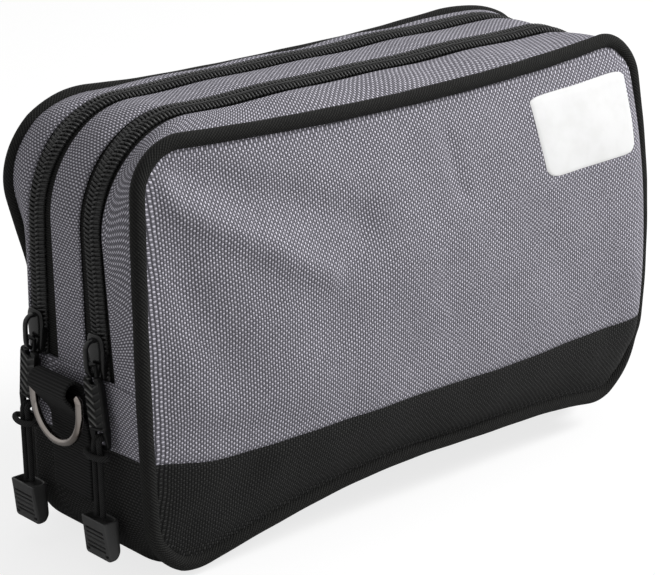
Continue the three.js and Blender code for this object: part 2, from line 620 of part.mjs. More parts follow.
// Finishes
const finish = (color, roughness, metalness = 0) => new THREE.MeshStandardMaterial({ color, roughness, metalness });
const greyCloth = () => finish(0x77757e, 0.85);
const blackCloth = () => finish(0x232324, 0.85);
const blackTrim = () => finish(0x1a1a1b, 0.8);
const moulded = () => finish(0x2b2b2c, 0.55);
const enamel = () => finish(0x0e0e0f, 0.3, 0.4);
const nickel = () => finish(0x8d8580, 0.3, 1);
const white = () => finish(0xf2f2f2, 0.6);

const bag = new THREE.Group();

function place(name, geometry, material, parent = bag) {
  const mesh = new THREE.Mesh(geometry, material);
  mesh.name = name;
  parent.add(mesh);
  return mesh;
}

// Cloth of the front and rear, their gussets, piping and outer zipper halves
for (const [name, side] of [["front", -1], ["rear", 1]]) {
  const openOuter = ZIP_TOP_Y + ZIP_HALF_OPENING;
  const openInner = ZIP_TOP_Y - ZIP_HALF_OPENING;
  const coilOuter = ZIP_TOP_Y + COIL_SLOT + COIL_WIDTH;
  const coilInner = ZIP_TOP_Y - COIL_SLOT - COIL_WIDTH;
  const between = (a, b) => (side < 0 ? [-Math.max(a, b), -Math.min(a, b)] : [Math.min(a, b), Math.max(a, b)]);
  const over = (a, b, outside, inside, rows) => band(OVER, ...between(a, b), outside, inside, rows);

  place(`${name}_panel`, panel(side, aboveFold, 1, 18, 9), greyCloth());
  place(`${name}_panel_lower`, panel(side, aboveBand, belowFold, 18, 2), greyCloth());
  place(`${name}_base_band`, panel(side, 0, belowBand, 18, 5), blackCloth());
  const upper = [FOLD_SHARE + pipingShare, ...OVER.slice(1, -1), 3 - FOLD_SHARE - pipingShare];
  const lower = [3 - FOLD_SHARE + pipingShare, 3 - SEAMS_MIDDLE, ...UNDER, 4 + SEAMS_MIDDLE, 4 + FOLD_SHARE - pipingShare];
  place(`${name}_piping_upper`, piping(side, upper), blackTrim());
  place(`${name}_piping_lower`, piping(side, lower), blackTrim());
  place(`${name}_gusset`, over(openOuter, gussetEdge, 0, CLOTH, 3), greyCloth());

  const tapeFace = TAPE_DEPTH;
  const tapeBack = TAPE_DEPTH + TAPE;
  const coilBack = TAPE_DEPTH - SEAM_GAP;
  const outerTape = over(ZIP_TOP_Y + COIL_SLOT, openOuter - SEAM_GAP, tapeFace, tapeBack, 1);
  const innerTape = over(openInner + SEAM_GAP, ZIP_TOP_Y - COIL_SLOT, tapeFace, tapeBack, 1);
  place(`${name}_zip_outer_tape`, outerTape, blackTrim());
  place(`${name}_zip_inner_tape`, innerTape, blackTrim());
  place(`${name}_zip_outer_coil`, over(ZIP_TOP_Y + COIL_SLOT, coilOuter, -COIL_PROUD, coilBack, 1), blackTrim());
  place(`${name}_zip_inner_coil`, over(coilInner, ZIP_TOP_Y - COIL_SLOT, -COIL_PROUD, coilBack, 1), blackTrim());
}

// Cloth between the compartments and round the ends and bottom
const middleEdge = ZIP_TOP_Y - ZIP_HALF_OPENING;
const endRows = [aboveBand, SEAMS_MIDDLE, belowFold];
place("middle_gusset", band(OVER, -middleEdge, middleEdge, 0, CLOTH, 4), greyCloth());
place("left_end_panel", band(endRows, -gussetEdge, gussetEdge, 0, CLOTH, 10), greyCloth());
place("right_end_panel", band(endRows.map((q) => 3 - q).reverse(), -gussetEdge, gussetEdge, 0, CLOTH, 10), greyCloth());
place("base_gusset", band(UNDER, -gussetEdge, gussetEdge, 0, CLOTH, 8), blackCloth());
place("divider", divider(), blackCloth());

// Blank label on the front
const labelFace = (a, b, k) => {
  const p = mix(LABEL_LEFT, LABEL_RIGHT, a);
  const q = mix(LABEL_LOW, LABEL_HIGH, b);
  return panelPoint(-1, p, q, k ? -SEAM_GAP : -SEAM_GAP - LABEL_THICKNESS);
};
place("label_patch", slab(labelFace, 8, 5, false), white());

// Slider, tab, cord and moulded end of each zipper, in a frame that leans with the zipper
const zipSlope = Math.atan(ZIP_SPREAD / (TOP_HEIGHT - FOLD_SEAM));
for (const [name, side] of [["front", -1], ["rear", 1]]) {
  const frame = new THREE.Group();
  frame.position.set(-endOut, side * (ZIP_TOP_Y + zipSpread(SLIDER_HEIGHT)), SLIDER_HEIGHT);
  frame.rotation.x = side * zipSlope;
  bag.add(frame);
  place(`${name}_slider`, slider(), enamel(), frame);
  const lean = side * THREE.MathUtils.degToRad(TAB_LEAN);
  const tabFrame = new THREE.Group();
  tabFrame.position.set(-barOut, 0, -barDrop);
  tabFrame.rotation.x = lean - side * zipSlope;
  frame.add(tabFrame);
  place(`${name}_pull_tab`, pullTab(), moulded(), tabFrame);
  const cordFrame = new THREE.Group();
  cordFrame.position.set(0, 0, -holeDrop);
  cordFrame.rotation.x = -lean;
  tabFrame.add(cordFrame);
  place(`${name}_pull_cord`, pullCord(), blackTrim(), cordFrame);
  place(`${name}_cord_grip`, cordGrip(), moulded(), cordFrame);
}

// Ring and webbing on the left end
const endFrame = new THREE.Group();
endFrame.position.set(-endOut, 0, 0);
bag.add(endFrame);
place("webbing_tab", webbing(), blackTrim(), endFrame);
const ringMesh = place("d_ring", ring(), nickel(), endFrame);
ringMesh.position.set(-LOOP_OUT, 0, LOOP_HEIGHT - LOOP_RADIUS + RING_WIRE + SEAM_GAP);

export default bag;
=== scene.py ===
"""Looks of a zippered tool bag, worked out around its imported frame.

Lengths are in millimetres, as on the part's own drawing, and become metres where a mesh is made.
The front faces -Y, the ring's end lies at -X, and Z points up. Every cloth piece, zipper and
piping is laid on one master surface: a ring of cloth round the XZ plane that is swept from the
front rim (v = -1) to the rear rim (v = 1), with t from 0 to 4 up the left end, along the top,
down the right end and back along the bottom. The front and rear are sheets between the ends of
their rims, with p from the left to the right and q from the foot to the top.
"""

import math

import bpy
import numpy as np
from mathutils import Matrix, Vector


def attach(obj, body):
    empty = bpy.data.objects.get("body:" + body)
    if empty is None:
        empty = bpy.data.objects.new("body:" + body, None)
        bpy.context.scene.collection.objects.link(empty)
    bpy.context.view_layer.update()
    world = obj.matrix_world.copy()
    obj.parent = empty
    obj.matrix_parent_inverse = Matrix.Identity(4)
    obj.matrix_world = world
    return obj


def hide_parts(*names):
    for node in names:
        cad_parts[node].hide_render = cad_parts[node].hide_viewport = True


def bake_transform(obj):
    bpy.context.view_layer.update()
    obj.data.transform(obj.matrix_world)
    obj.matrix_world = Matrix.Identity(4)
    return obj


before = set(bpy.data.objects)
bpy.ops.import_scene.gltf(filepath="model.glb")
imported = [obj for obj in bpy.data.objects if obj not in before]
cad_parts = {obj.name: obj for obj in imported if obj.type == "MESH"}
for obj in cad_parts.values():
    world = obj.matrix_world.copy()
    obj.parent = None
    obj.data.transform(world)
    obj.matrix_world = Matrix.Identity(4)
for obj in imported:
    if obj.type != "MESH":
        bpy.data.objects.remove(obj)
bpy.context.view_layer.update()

MM = 0.001

# Sizes of the bag's body, as in the part's source
RIM_HALF_LENGTH = 156
RIM_HALF_DEPTH = 50
TOP_HEIGHT = 213.5
FRONT_DROP = 3
REAR_DROP = 1
END_BULGE = 7
FRONT_CORNER = 22
REAR_CORNER = 48
ZIP_CORNER = 50
FOOT_CORNER = 28
REAR_FOOT_CORNER = 19
ROUND_FOOT_CORNER = 32
RIM_FOOT = 4.1
FRONT_CROWN = 18
REAR_CROWN = 13
CROWN_ACROSS = 3.2
CROWN_RIGHT = 25
CROWN_UPWARDS = 2.6
RUN_BLEND = 4
FRONT_SAG = 4.5
REAR_SAG = 8
REAR_SAG_HALF = 140
REAR_SAG_POWER = 3
FOOT_ARCH = 22.5
ARCH_POWER = 1.15
ARCH_START = 0.2
LEFT_BOW = 9
RIGHT_BOW = 1
FRONT_SWELL = 9
REAR_SWELL = 3
RIGHT_START = 0.1
RIGHT_LIFT = 12.5
RIGHT_TAPER = 4.5
TUCK_HEIGHT = 108
REAR_TUCK = 12.5
REAR_FLARE = 7
REAR_REACH = 3.5
REAR_RIGHT_REACH = 20
BAND_SEAM = 60
FOLD_SEAM = 96
CLOTH = 1.6
PIPING_RADIUS = 3.6
ZIP_TOP_Y = 20
ZIP_SPREAD = 5
ZIP_HALF_OPENING = 8.75
LIP_SPREAD = 5
LIP_START = 170
COIL_WIDTH = 4.2
COIL_SLOT = 0.8

# The label's edges across and up the front, as shares p and q
LABEL_LEFT = 0.715
LABEL_RIGHT = 0.96
LABEL_LOW = 0.68
LABEL_HIGH = 0.885
LABEL_LENGTH = 70
LABEL_HEIGHT = 44

# Sliders, tabs, cords and moulded ends
SLIDER_HEIGHT = 108
SLIDER_HALF_LENGTH = 11
BAR_OUT = 5.6
BAR_DROP = 3
TAB_LEAN = math.radians(7.6)
TAB_HALF_WIDTH = 6.3
TAB_HOLE_DROP = 34.5
TAB_LENGTH = 40
TAB_SHOULDER = 5.2
TAB_ARM = 2.1
TAB_ARM_FOOT = 9.6
LUG_TOP = 29.6
PLATE_TOP = 9
PLATE_FOOT = 30.9
PLATE_STEP = 0.28
CHEVRON_PITCH = 3.5
CORD_RADIUS = 1.4
CORD_SPREAD = 2.2
STRAND_OUT = 2.7
IN_HOLE = 1.6
LOOP_BACK = 2.0
BEND = 2.0
TURN_HEIGHT = -7.7
TURN_REACH = 8.0
GRIP_TOP = -38.6
GRIP_HEIGHT = 20
GRIP_HALF_TOP = 9.2
GRIP_HALF_FOOT = 9.9
GRIP_FACE = 7.5
GRIP_BACK = -2.1
GRIP_SHOULDER = 5.6
GRIP_SLOTS = 5
GRIP_SLOT_PITCH = 2.4
GRIP_SLOT_HALF = 0.62
GRIP_SLOT_DEPTH = 0.9
GRIP_HOLE_OUT = 7.4
GRIP_HOLE_UP = 2.7
GRIP_HOLE_DEPTH = 2.0

# Webbing, its loop and the ring
WEB_HALF_WIDTH = 15
WEB_FOOT = 34
LOOP_OUT = 9.6
LOOP_HEIGHT = 89
LOOP_MIDDLE_RADIUS = 5.1
RING_WIRE = 1.95
RING_HALF_WIDTH = 18.6
RING_STRAIGHT = 7
RING_CORNER = 2.6
RING_BAR_HEIGHT = 87

# Zipper teeth
TOOTH_PITCH = 2.1
TOOTH_RADIUS = 0.68
THREAD_RADIUS = 0.3

# Ring parameters of the seams and corners, as in the part's source
CORNER_SHARE = 0.1
BAND_SHARE = 0.25
FOLD_SHARE = 0.4
TOP_SHARE = 0.85

ZIP_OUTER = (ZIP_TOP_Y + ZIP_HALF_OPENING) / RIM_HALF_DEPTH
ZIP_INNER = (ZIP_TOP_Y - ZIP_HALF_OPENING) / RIM_HALF_DEPTH
COIL_FAR = (ZIP_TOP_Y + COIL_SLOT + COIL_WIDTH) / RIM_HALF_DEPTH
COIL_NEAR = (ZIP_TOP_Y - COIL_SLOT - COIL_WIDTH) / RIM_HALF_DEPTH
GUSSET_EDGE = (RIM_HALF_DEPTH - PIPING_RADIUS - 0.3) / RIM_HALF_DEPTH
END_OUT = RIM_HALF_LENGTH + END_BULGE
EIGHTH = math.pi / 4


def clamp(a):
    return np.clip(a, 0, 1)


def smooth(a):
    a = clamp(a)
    return a * a * (3 - 2 * a)


def ramp(a, low, high):
    """0 at low and 1 at high, with smooth shoulders; low may be the larger."""
    return smooth((a - low) / (high - low))


def mix(a, b, s):
    return a + (b - a) * s


def unit(a):
    return a / np.maximum(np.linalg.norm(a, axis=-1, keepdims=True), 1e-9)


def run_length(points):
    """Length of a line up to each of its points."""
    return np.concatenate([[0], np.cumsum(np.linalg.norm(np.diff(points, axis=0), axis=1))])


def rolled(distance, radius):
    """Quarter circle from 0 at an edge to 1 at a radius from it."""
    return np.sqrt(clamp(1 - (1 - clamp(distance / radius)) ** 2))


def bell(points, start, end, width):
    """1 on the segment from start to end, falling with the distance from it as a bell does."""
    start, end = np.array(start, float), np.array(end, float)
    line = end - start
    share = clamp(((points - start) @ line) / (line @ line))
    away = np.linalg.norm(points - start - share[..., None] * line, axis=-1)
    return np.exp(-((away / width) ** 2))


# The master surface


def ring_sizes(v):
    """Half length, top and foot heights and corner radii of the ring of cloth at depth v."""
    inner = ramp(np.abs(v), 1, ZIP_OUTER)
    half = RIM_HALF_LENGTH + END_BULGE * inner
    top = TOP_HEIGHT - np.where(v < 0, FRONT_DROP, REAR_DROP) * v * v
    top_corner = mix(np.where(v < 0, FRONT_CORNER, REAR_CORNER), ZIP_CORNER, inner)
    foot_corner = mix(np.where(v < 0, FOOT_CORNER, REAR_FOOT_CORNER), ROUND_FOOT_CORNER, inner)
    return half, top, RIM_FOOT * (1 - inner), top_corner, foot_corner


def end_point(q, sizes, inset):
    """Distance out and height along one end: an eighth of a turn at the foot, a straight with
    its seams at fixed heights, and an eighth of a turn at the top."""
    half, top, foot, top_corner, foot_corner = sizes
    lowest, highest = foot + foot_corner, top - top_corner
    foot_angle = EIGHTH * (1 - q / CORNER_SHARE)
    top_angle = EIGHTH * (q - TOP_SHARE) / (1 - TOP_SHARE)
    foot_radius, top_radius = foot_corner - inset, top_corner - inset
    parts = [q < CORNER_SHARE, q < BAND_SHARE, q < FOLD_SHARE, q < TOP_SHARE]
    straight = [
        mix(lowest, BAND_SEAM, (q - CORNER_SHARE) / (BAND_SHARE - CORNER_SHARE)),
        mix(BAND_SEAM, FOLD_SEAM, (q - BAND_SHARE) / (FOLD_SHARE - BAND_SHARE)),
        mix(FOLD_SEAM, highest, (q - FOLD_SHARE) / (TOP_SHARE - FOLD_SHARE)),
    ]
    foot_out = half - foot_corner + foot_radius * np.cos(foot_angle)
    top_out = half - top_corner + top_radius * np.cos(top_angle)
    out = np.select(parts, [foot_out] + [half - inset] * len(straight), top_out)
    foot_up = lowest - foot_radius * np.sin(foot_angle)
    return out, np.select(parts, [foot_up, *straight], highest + top_radius * np.sin(top_angle))


def run_point(p, sizes, inset, at_top):
    """Place along the top or bottom run: a straight between two eighths of a turn."""
    half, top, foot, top_corner, foot_corner = sizes
    up = 1 if at_top else -1
    corner = top_corner if at_top else foot_corner
    height = (top if at_top else foot) - up * corner
    radius = corner - inset
    share = np.minimum(p, 1 - p) / CORNER_SHARE
    angle = EIGHTH * (1 + share)
    straight = half - corner
    along = (p - CORNER_SHARE) / (1 - 2 * CORNER_SHARE)
    turn_x = np.where(p < 0.5, -1, 1) * (straight + radius * np.cos(angle))
    x = np.where(share < 1, turn_x, mix(-straight, straight, along))
    return x, height + up * radius * np.where(share < 1, np.sin(angle), 1)


def ring_points(t, v, inset=0.0):
    """The master surface: the plain ring at (t, v), moved inwards by inset, with the rims' sag,
    arch, bow and reach added towards the rims, and the zippers' lines spread lower down."""
    t, v, inset = np.broadcast_arrays(*(np.asarray(a, float) for a in (np.mod(t, 4), v, inset)))
    sizes = ring_sizes(v)
    left_out, left_up = end_point(clamp(t), sizes, inset)
    right_out, right_up = end_point(clamp(3 - t), sizes, inset)
    top_x, top_z = run_point(clamp(t - 1), sizes, inset, True)
    foot_x, foot_z = run_point(clamp(4 - t), sizes, inset, False)
    x = np.select([t < 1, t < 2, t < 3], [-left_out, top_x, right_out], foot_x)
    z = np.select([t < 1, t < 2, t < 3], [left_up, top_z, right_up], foot_z)
    depth, side = np.abs(v), np.sign(v)
    rim = ramp(depth, ZIP_OUTER, 1)
    middle = TOP_HEIGHT / 2
    along_run = clamp(1 - (x / RIM_HALF_LENGTH) ** 2)
    along_end = clamp(1 - ((z - middle) / middle) ** 2)
    swell = np.where(v < 0, FRONT_SWELL, REAR_SWELL) * rim * (along_run + along_end - along_run * along_end)
    y = RIM_HALF_DEPTH * v + side * (zip_shift(depth, z) + swell)
    shoulder = TOP_HEIGHT - FRONT_CORNER
    low, high = ramp(z, BAND_SEAM, FOOT_CORNER), ramp(z, FOLD_SEAM, shoulder)
    right = ramp(x / RIM_HALF_LENGTH, RIGHT_START, 1)
    arch_run = clamp(1 - (x / (RIM_HALF_LENGTH - FOOT_CORNER / 2)) ** 2)
    rise = (FOOT_ARCH * arch_run**ARCH_POWER + RIGHT_LIFT * right) * low * ramp(depth, ARCH_START, 1)
    sag_run = clamp(1 - np.abs(x / REAR_SAG_HALF) ** REAR_SAG_POWER)
    sag = np.where(v < 0, FRONT_SAG * along_run, REAR_SAG * sag_run) * high
    front_right = RIGHT_BOW * along_end - RIGHT_TAPER * (1 - along_end)
    front = np.where(x < 0, LEFT_BOW * along_end, front_right)
    upper, lower = ramp(z, TUCK_HEIGHT, shoulder), ramp(z, TUCK_HEIGHT, FOOT_CORNER)
    rear = (REAR_REACH + REAR_RIGHT_REACH * right) * upper - REAR_TUCK * (1 - upper) + REAR_FLARE * lower
    near_end = ramp(np.abs(x), RIM_HALF_LENGTH / 2, RIM_HALF_LENGTH)
    out = np.sign(x) * near_end * np.where(v < 0, front, rear) * rim
    return np.stack([x + out, y, z + rise - sag * rim], -1)


def zip_spread(height):
    """How far a zipper's line stands out from its place on the top run, at a height."""
    return ZIP_SPREAD * clamp((TOP_HEIGHT - height) / (TOP_HEIGHT - FOLD_SEAM))


def zip_shift(depth, height):
    """Sideways shift of the ring at a depth: none at the middle cloth's edge, the zipper's own on
    its coils, the outer gusset's at its folded edge and none again at the piping."""
    lip = LIP_SPREAD * clamp((LIP_START - height) / (LIP_START - FOLD_SEAM))
    coil = zip_spread(height) * ramp(depth, ZIP_INNER, COIL_NEAR)
    return mix(coil, lip, ramp(depth, COIL_FAR, ZIP_OUTER)) * ramp(depth, GUSSET_EDGE, ZIP_OUTER)


# Creases of the ring's cloth: start and end as (x, y, z), width, and height over the cloth
RING_CREASES = [
    ((-152, -3, 187), (-155, 3, 176), 1.5, -2.4),
    ((-150, -6, 190), (-118, -8, 214), 4.0, 0.8),
    ((-156, 6, 170), (-160, 4, 150), 4.0, -0.7),
]


def ring_relief(place, v):
    """Height of the cloth's fullness over the master surface: each strip is puffed between its
    seams, slow waves run along it, and it is creased. The left end is calm under the sliders."""
    x, z = place[..., 0], place[..., 2]
    y = np.abs(v) * RIM_HALF_DEPTH
    inner_edge, outer_edge = ZIP_TOP_Y - ZIP_HALF_OPENING, ZIP_TOP_Y + ZIP_HALF_OPENING
    gusset_middle, gusset_half = (outer_edge + RIM_HALF_DEPTH) / 2, (RIM_HALF_DEPTH - outer_edge) / 2
    puff = 1.3 * clamp(1 - (y / inner_edge) ** 2)
    puff += 1.5 * clamp(1 - ((y - gusset_middle) / gusset_half) ** 2)
    wave = np.sin(x / 17 + 1.1 + v) * np.sin(z / 23 + 0.7) + 0.6 * np.sin(x / 9.5 - z / 13 + 2 * v)
    height = puff * (1 + 0.25 * wave) + 0.45 * wave * ramp(np.abs(v), 1, 0.8)
    for start, end, width, amount in RING_CREASES:
        height = height + amount * bell(place, start, end, width)
    calm = ramp(x, -120, -145) * ramp(z, 175, 150)
    return height * (1 - calm) * ramp(z, 25, 50)


def bag_points(t, v, inset=0.0):
    """The master surface with the cloth's fullness, which moves everything sewn to it alike."""
    t, v, inset = np.broadcast_arrays(*(np.asarray(a, float) for a in (t, v, inset)))
    step_t, step_v = 1e-3, 2e-3
    base = ring_points(t, v)
    along = ring_points(t + step_t, v) - ring_points(t - step_t, v)
    across = ring_points(t, v + step_v) - ring_points(t, v - step_v)
    out = unit(np.cross(along, across))
    from_middle = np.stack([base[..., 0], 0 * t, base[..., 2] - TOP_HEIGHT / 2], -1)
    out *= np.where((out * from_middle).sum(-1, keepdims=True) < 0, -1, 1)
    return ring_points(t, v, inset) + out * ring_relief(base, v)[..., None]


# The front and rear

SEAM_SHARES = [0, CORNER_SHARE, BAND_SHARE, FOLD_SHARE, TOP_SHARE, 1]


def height_share(q):
    heights = [0, FOOT_CORNER, BAND_SEAM, FOLD_SEAM, TOP_HEIGHT - FRONT_CORNER, TOP_HEIGHT]
    return np.interp(q, SEAM_SHARES, heights) / TOP_HEIGHT


def panel_sheet(side, p, q, inset=PIPING_RADIUS + 0.6):
    """The crowned front or rear: rows between the rim's two ends, which take up the shapes of its
    bottom and top runs as they near them, plus a swell that is square-shouldered both ways."""
    p, q = np.broadcast_arrays(np.asarray(p, float), np.asarray(q, float))

    def at(t):
        return ring_points(t, side, inset)

    def between(a, b):
        return mix(at(a), at(b), p[..., None])

    bottom = at(4 - p) - between(0 * q, 3 + 0 * q)
    top = at(1 + p) - between(1 + 0 * q, 2 + 0 * q)
    total = between(q, 3 - q) + bottom * ((1 - q) ** RUN_BLEND)[..., None] + top * (q**RUN_BLEND)[..., None]
    across = np.where((side < 0) & (p > 0.5), CROWN_RIGHT, CROWN_ACROSS)
    swell = (1 - np.abs(2 * p - 1) ** across) * (1 - np.abs(2 * height_share(q) - 1) ** CROWN_UPWARDS)
    total[..., 1] += side * (FRONT_CROWN if side < 0 else REAR_CROWN) * swell
    return total


# Folds of the front and rear: start and end as (x, z), width, and height over the cloth
FRONT_FOLDS = [
    ((-148, 186), (-70, 138), 8.0, 3.0),
    ((-132, 192), (-48, 158), 11.0, -3.4),
    ((-146, 150), (-118, 96), 13.0, -1.6),
    ((-96, 118), (-84, 76), 16.0, 1.4),
    ((-140, 74), (-60, 66), 9.0, -1.2),
    ((12, 186), (16, 160), 5.0, -1.3),
    ((60, 120), (120, 70), 20.0, -1.8),
    ((-20, 128), (60, 150), 26.0, 1.6),
    ((-150, 22), (-110, 48), 9.0, -1.6),
    ((20, 40), (110, 46), 10.0, 1.0),
]
REAR_FOLDS = [
    ((-120, 170), (-40, 130), 12.0, 2.6),
    ((-110, 185), (-30, 150), 12.0, -2.6),
    ((120, 175), (50, 120), 14.0, 2.2),
    ((-60, 70), (60, 90), 22.0, -2.0),
    ((90, 60), (130, 100), 12.0, 1.4),
]


def panel_points(side, p, q):
    """The front or rear with its folds, slow waves and the groove of the band seam."""
    sheet = panel_sheet(side, p, q)
    x, z = sheet[..., 0], sheet[..., 2]
    height = 0.7 * np.sin(x / 21 + z / 37 + side) * np.sin(z / 19 - x / 55 + 0.5)
    height += 0.35 * np.sin(x / 9.3 - z / 15.1) * np.sin(x / 13.7 + z / 8.9)
    flat = sheet[..., ::2]
    for start, end, width, amount in FRONT_FOLDS if side < 0 else REAR_FOLDS:
        height = height + amount * bell(flat, start, end, width)
    seam = np.exp(-(((z - seam_height(x, side)) / 1.6) ** 2))
    share = height_share(q)
    rim = smooth(np.minimum(np.minimum(p, 1 - p) * 14, np.minimum(share, 1 - share) * 12))
    sheet[..., 1] += side * (height - 0.7 * seam) * rim
    return sheet


def seam_rise(side, p):
    """How far the band seam has risen near the front's two rims, as a ring parameter."""
    return (side < 0) * (0.015 * np.exp(-((p / 0.09) ** 2)) + 0.024 * ramp(p, 0.6, 1))


def seam_height(x, side):
    """Height of the sheet's band seam at x, from the row of the sheet that holds it."""
    p = np.linspace(0, 1, 61)
    row = panel_sheet(side, p, BAND_SHARE + seam_rise(side, p))
    return np.interp(x, row[:, 0], row[:, 2])


def seam_tent(t):
    """1 at the band seam, falling evenly to 0 at the foot's corner and at the fold."""
    return clamp(np.minimum(t - CORNER_SHARE, FOLD_SHARE - t) / (FOLD_SHARE - BAND_SHARE))


# Parts of a mesh: points, then faces and their corners' surface coordinates


def triples(*axes):
    """Numbers and grids for each axis as one grid of points."""
    return np.stack(np.broadcast_arrays(*axes), -1)


def spread(a, b):
    """Surface coordinates of a grid's rows and columns as two whole grids."""
    a, b = (np.asarray(m, float) for m in (a, b))
    return np.broadcast_arrays(a if a.ndim == 2 else a[:, None], b if b.ndim == 2 else b[None, :])


def lattice(points, a, b, wrap_a=False, wrap_b=False):
    """A grid of points as a part. a and b are the surface coordinates of its rows and columns, one
    longer than the grid where it closes on itself."""
    rows, columns = points.shape[:2]
    i = np.arange(rows if wrap_a else rows - 1)
    j = np.arange(columns if wrap_b else columns - 1)
    i, j = (m.ravel() for m in np.meshgrid(i, j, indexing="ij"))
    i1, j1 = (i + 1) % rows, (j + 1) % columns
    faces = np.stack([i * columns + j, i1 * columns + j, i1 * columns + j1, i * columns + j1], -1)
    spots = triples(*spread(a, b))
    uv = np.stack([spots[i, j], spots[i + 1, j], spots[i + 1, j + 1], spots[i, j + 1]], 1)
    return {"points": points.reshape(-1, 3), "faces": [(faces, uv)]}


def cap(part, ring):
    """Closes a loop of a part's points with a fan about their middle."""
    points = part["points"]
    faces = np.stack([ring, np.roll(ring, -1), np.full(len(ring), len(points))], -1)
    part["points"] = np.vstack([points, points[ring].mean(0)])
    part["faces"].append((faces, part["points"][faces][..., ::2]))
    return part


def capped(points, a, b):
    """A tube of rings, closed round each ring, with a cap at both ends."""
    rows, columns = points.shape[:2]
    ring = np.arange(columns)
    part = cap(lattice(points, a, b, wrap_b=True), ring)
    return cap(part, (rows - 1) * columns + ring[::-1])


def slab(outer, inner, a, b):
    """A sheet with thickness: outer and inner grids joined round their edges."""
    rows, columns = outer.shape[:2]
    count = rows * columns
    faces, uv = lattice(outer, a, b)["faces"][0]
    ids = np.arange(count).reshape(rows, columns)
    edge = np.concatenate([ids[0, :-1], ids[:-1, -1], ids[-1, :0:-1], ids[:0:-1, 0]])
    after = np.roll(edge, -1)
    rim = np.stack([edge, after, after + count, edge + count], -1)
    spots = triples(*spread(a, b)).reshape(-1, 2)
    sides = [(faces, uv), (faces[:, ::-1] + count, uv[:, ::-1]), (rim, spots[rim % count])]
    return {"points": np.concatenate([outer, inner]).reshape(-1, 3), "faces": sides}


def repeated(points, faces_one):
    """Many copies of one small closed form: points is copies x corners x 3."""
    copies, corners = points.shape[:2]
    shift = np.arange(copies)[:, None, None] * corners
    many = [(faces + shift).reshape(-1, faces.shape[1]) for faces in faces_one]
    return {"points": points.reshape(-1, 3), "faces": [(f, np.zeros((*f.shape, 2))) for f in many]}


def outward(part):
    """Turns a closed part's faces so that its volume is positive."""
    volume = 0.0
    for faces, _ in part["faces"]:
        for k in range(1, faces.shape[1] - 1):
            a, b, c = (part["points"][faces[:, m]] for m in (0, k, k + 1))
            volume += np.einsum("ij,ij->", a, np.cross(b, c))
    if volume < 0:
        part["faces"] = [(f[:, ::-1], u[:, ::-1]) for f, u in part["faces"]]
    return part


def add_object(name, data):
    made = bpy.data.objects.new(name, data)
    bpy.context.scene.collection.objects.link(made)
    return made


def make_piece(name, parts, finish, body, replaces=(), sharp=None):
    """One object from closed parts, with their surface coordinates as its UV map. Its body is a
    name, to which it is attached; a flap's name and fold, given instead, are not used."""
    points, faces, uv, base = [], [], [], 0
    for part in map(outward, parts):
        for f, u in part["faces"]:
            faces += (f + base).tolist()
            uv.append(u.reshape(-1, 2))
        points.append(part["points"])
        base += len(part["points"])
    mesh = bpy.data.meshes.new(name)
    mesh.from_pydata((np.vstack(points) * MM).tolist(), [], faces)
    layer = mesh.uv_layers.new(name="cloth")
    layer.data.foreach_set("uv", np.vstack(uv).astype(np.float32).ravel())
    mesh.shade_smooth()
    if sharp is not None:
        mesh.set_sharp_from_angle(angle=math.radians(sharp))
    piece = add_object(name, mesh)
    slot, material = finish
    mesh.materials.append(material)
    if isinstance(body, str):
        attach(piece, body)
    else:
        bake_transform(piece)
    if replaces:
        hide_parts(*replaces)
    return piece


# Camera: azimuth, elevation and roll in degrees, distance and aim in millimetres, shift in pixels
FOCAL_PIXELS = 2500
PICTURE_WIDTH = 655
CAMERA_ANGLES = (-40.17, 18.81, -1.15)
CAMERA_DISTANCE = 1256.9
CAMERA_AIM = (0, 0, 98)
CAMERA_SHIFT = (11.6, 3.75)


def make_camera():
    azimuth, elevation, roll = (math.radians(a) for a in CAMERA_ANGLES)
    level = Vector((math.sin(azimuth), -math.cos(azimuth), 0))
    back = level * math.cos(elevation) + Vector((0, 0, math.sin(elevation)))
    right = Vector((math.cos(azimuth), math.sin(azimuth), 0))
    up = back.cross(right)
    turned_right = right * math.cos(roll) + up * math.sin(roll)
    turned_up = up * math.cos(roll) - right * math.sin(roll)
    data = bpy.data.cameras.new("camera")
    data.sensor_width = 36
    data.lens = FOCAL_PIXELS * data.sensor_width / PICTURE_WIDTH
    data.shift_x, data.shift_y = (-shift / PICTURE_WIDTH for shift in CAMERA_SHIFT)
    data.clip_start, data.clip_end = 0.05, 50
    camera = add_object("camera", data)
    turn = Matrix((turned_right, turned_up, back)).transposed().to_4x4()
    camera.matrix_world = Matrix.Translation((Vector(CAMERA_AIM) + back * CAMERA_DISTANCE) * MM) @ turn
    bpy.context.scene.camera = camera


make_camera()

# Materials


def operator(operation, reflected=False):
    """A Field's arithmetic as one Math node."""

    def apply(field, other):
        pair = (other, field) if reflected else (field, other)
        return field.nodes.math(operation, *pair)

    return apply


class Field:
    """A number or colour over a surface, with Python's arithmetic as Math nodes."""

    __add__ = __radd__ = operator("ADD")
    __sub__ = operator("SUBTRACT")
    __rsub__ = operator("SUBTRACT", reflected=True)
    __mul__ = __rmul__ = operator("MULTIPLY")
    __truediv__ = operator("DIVIDE")

    def __init__(self, nodes, socket):
        self.nodes, self.socket = nodes, socket


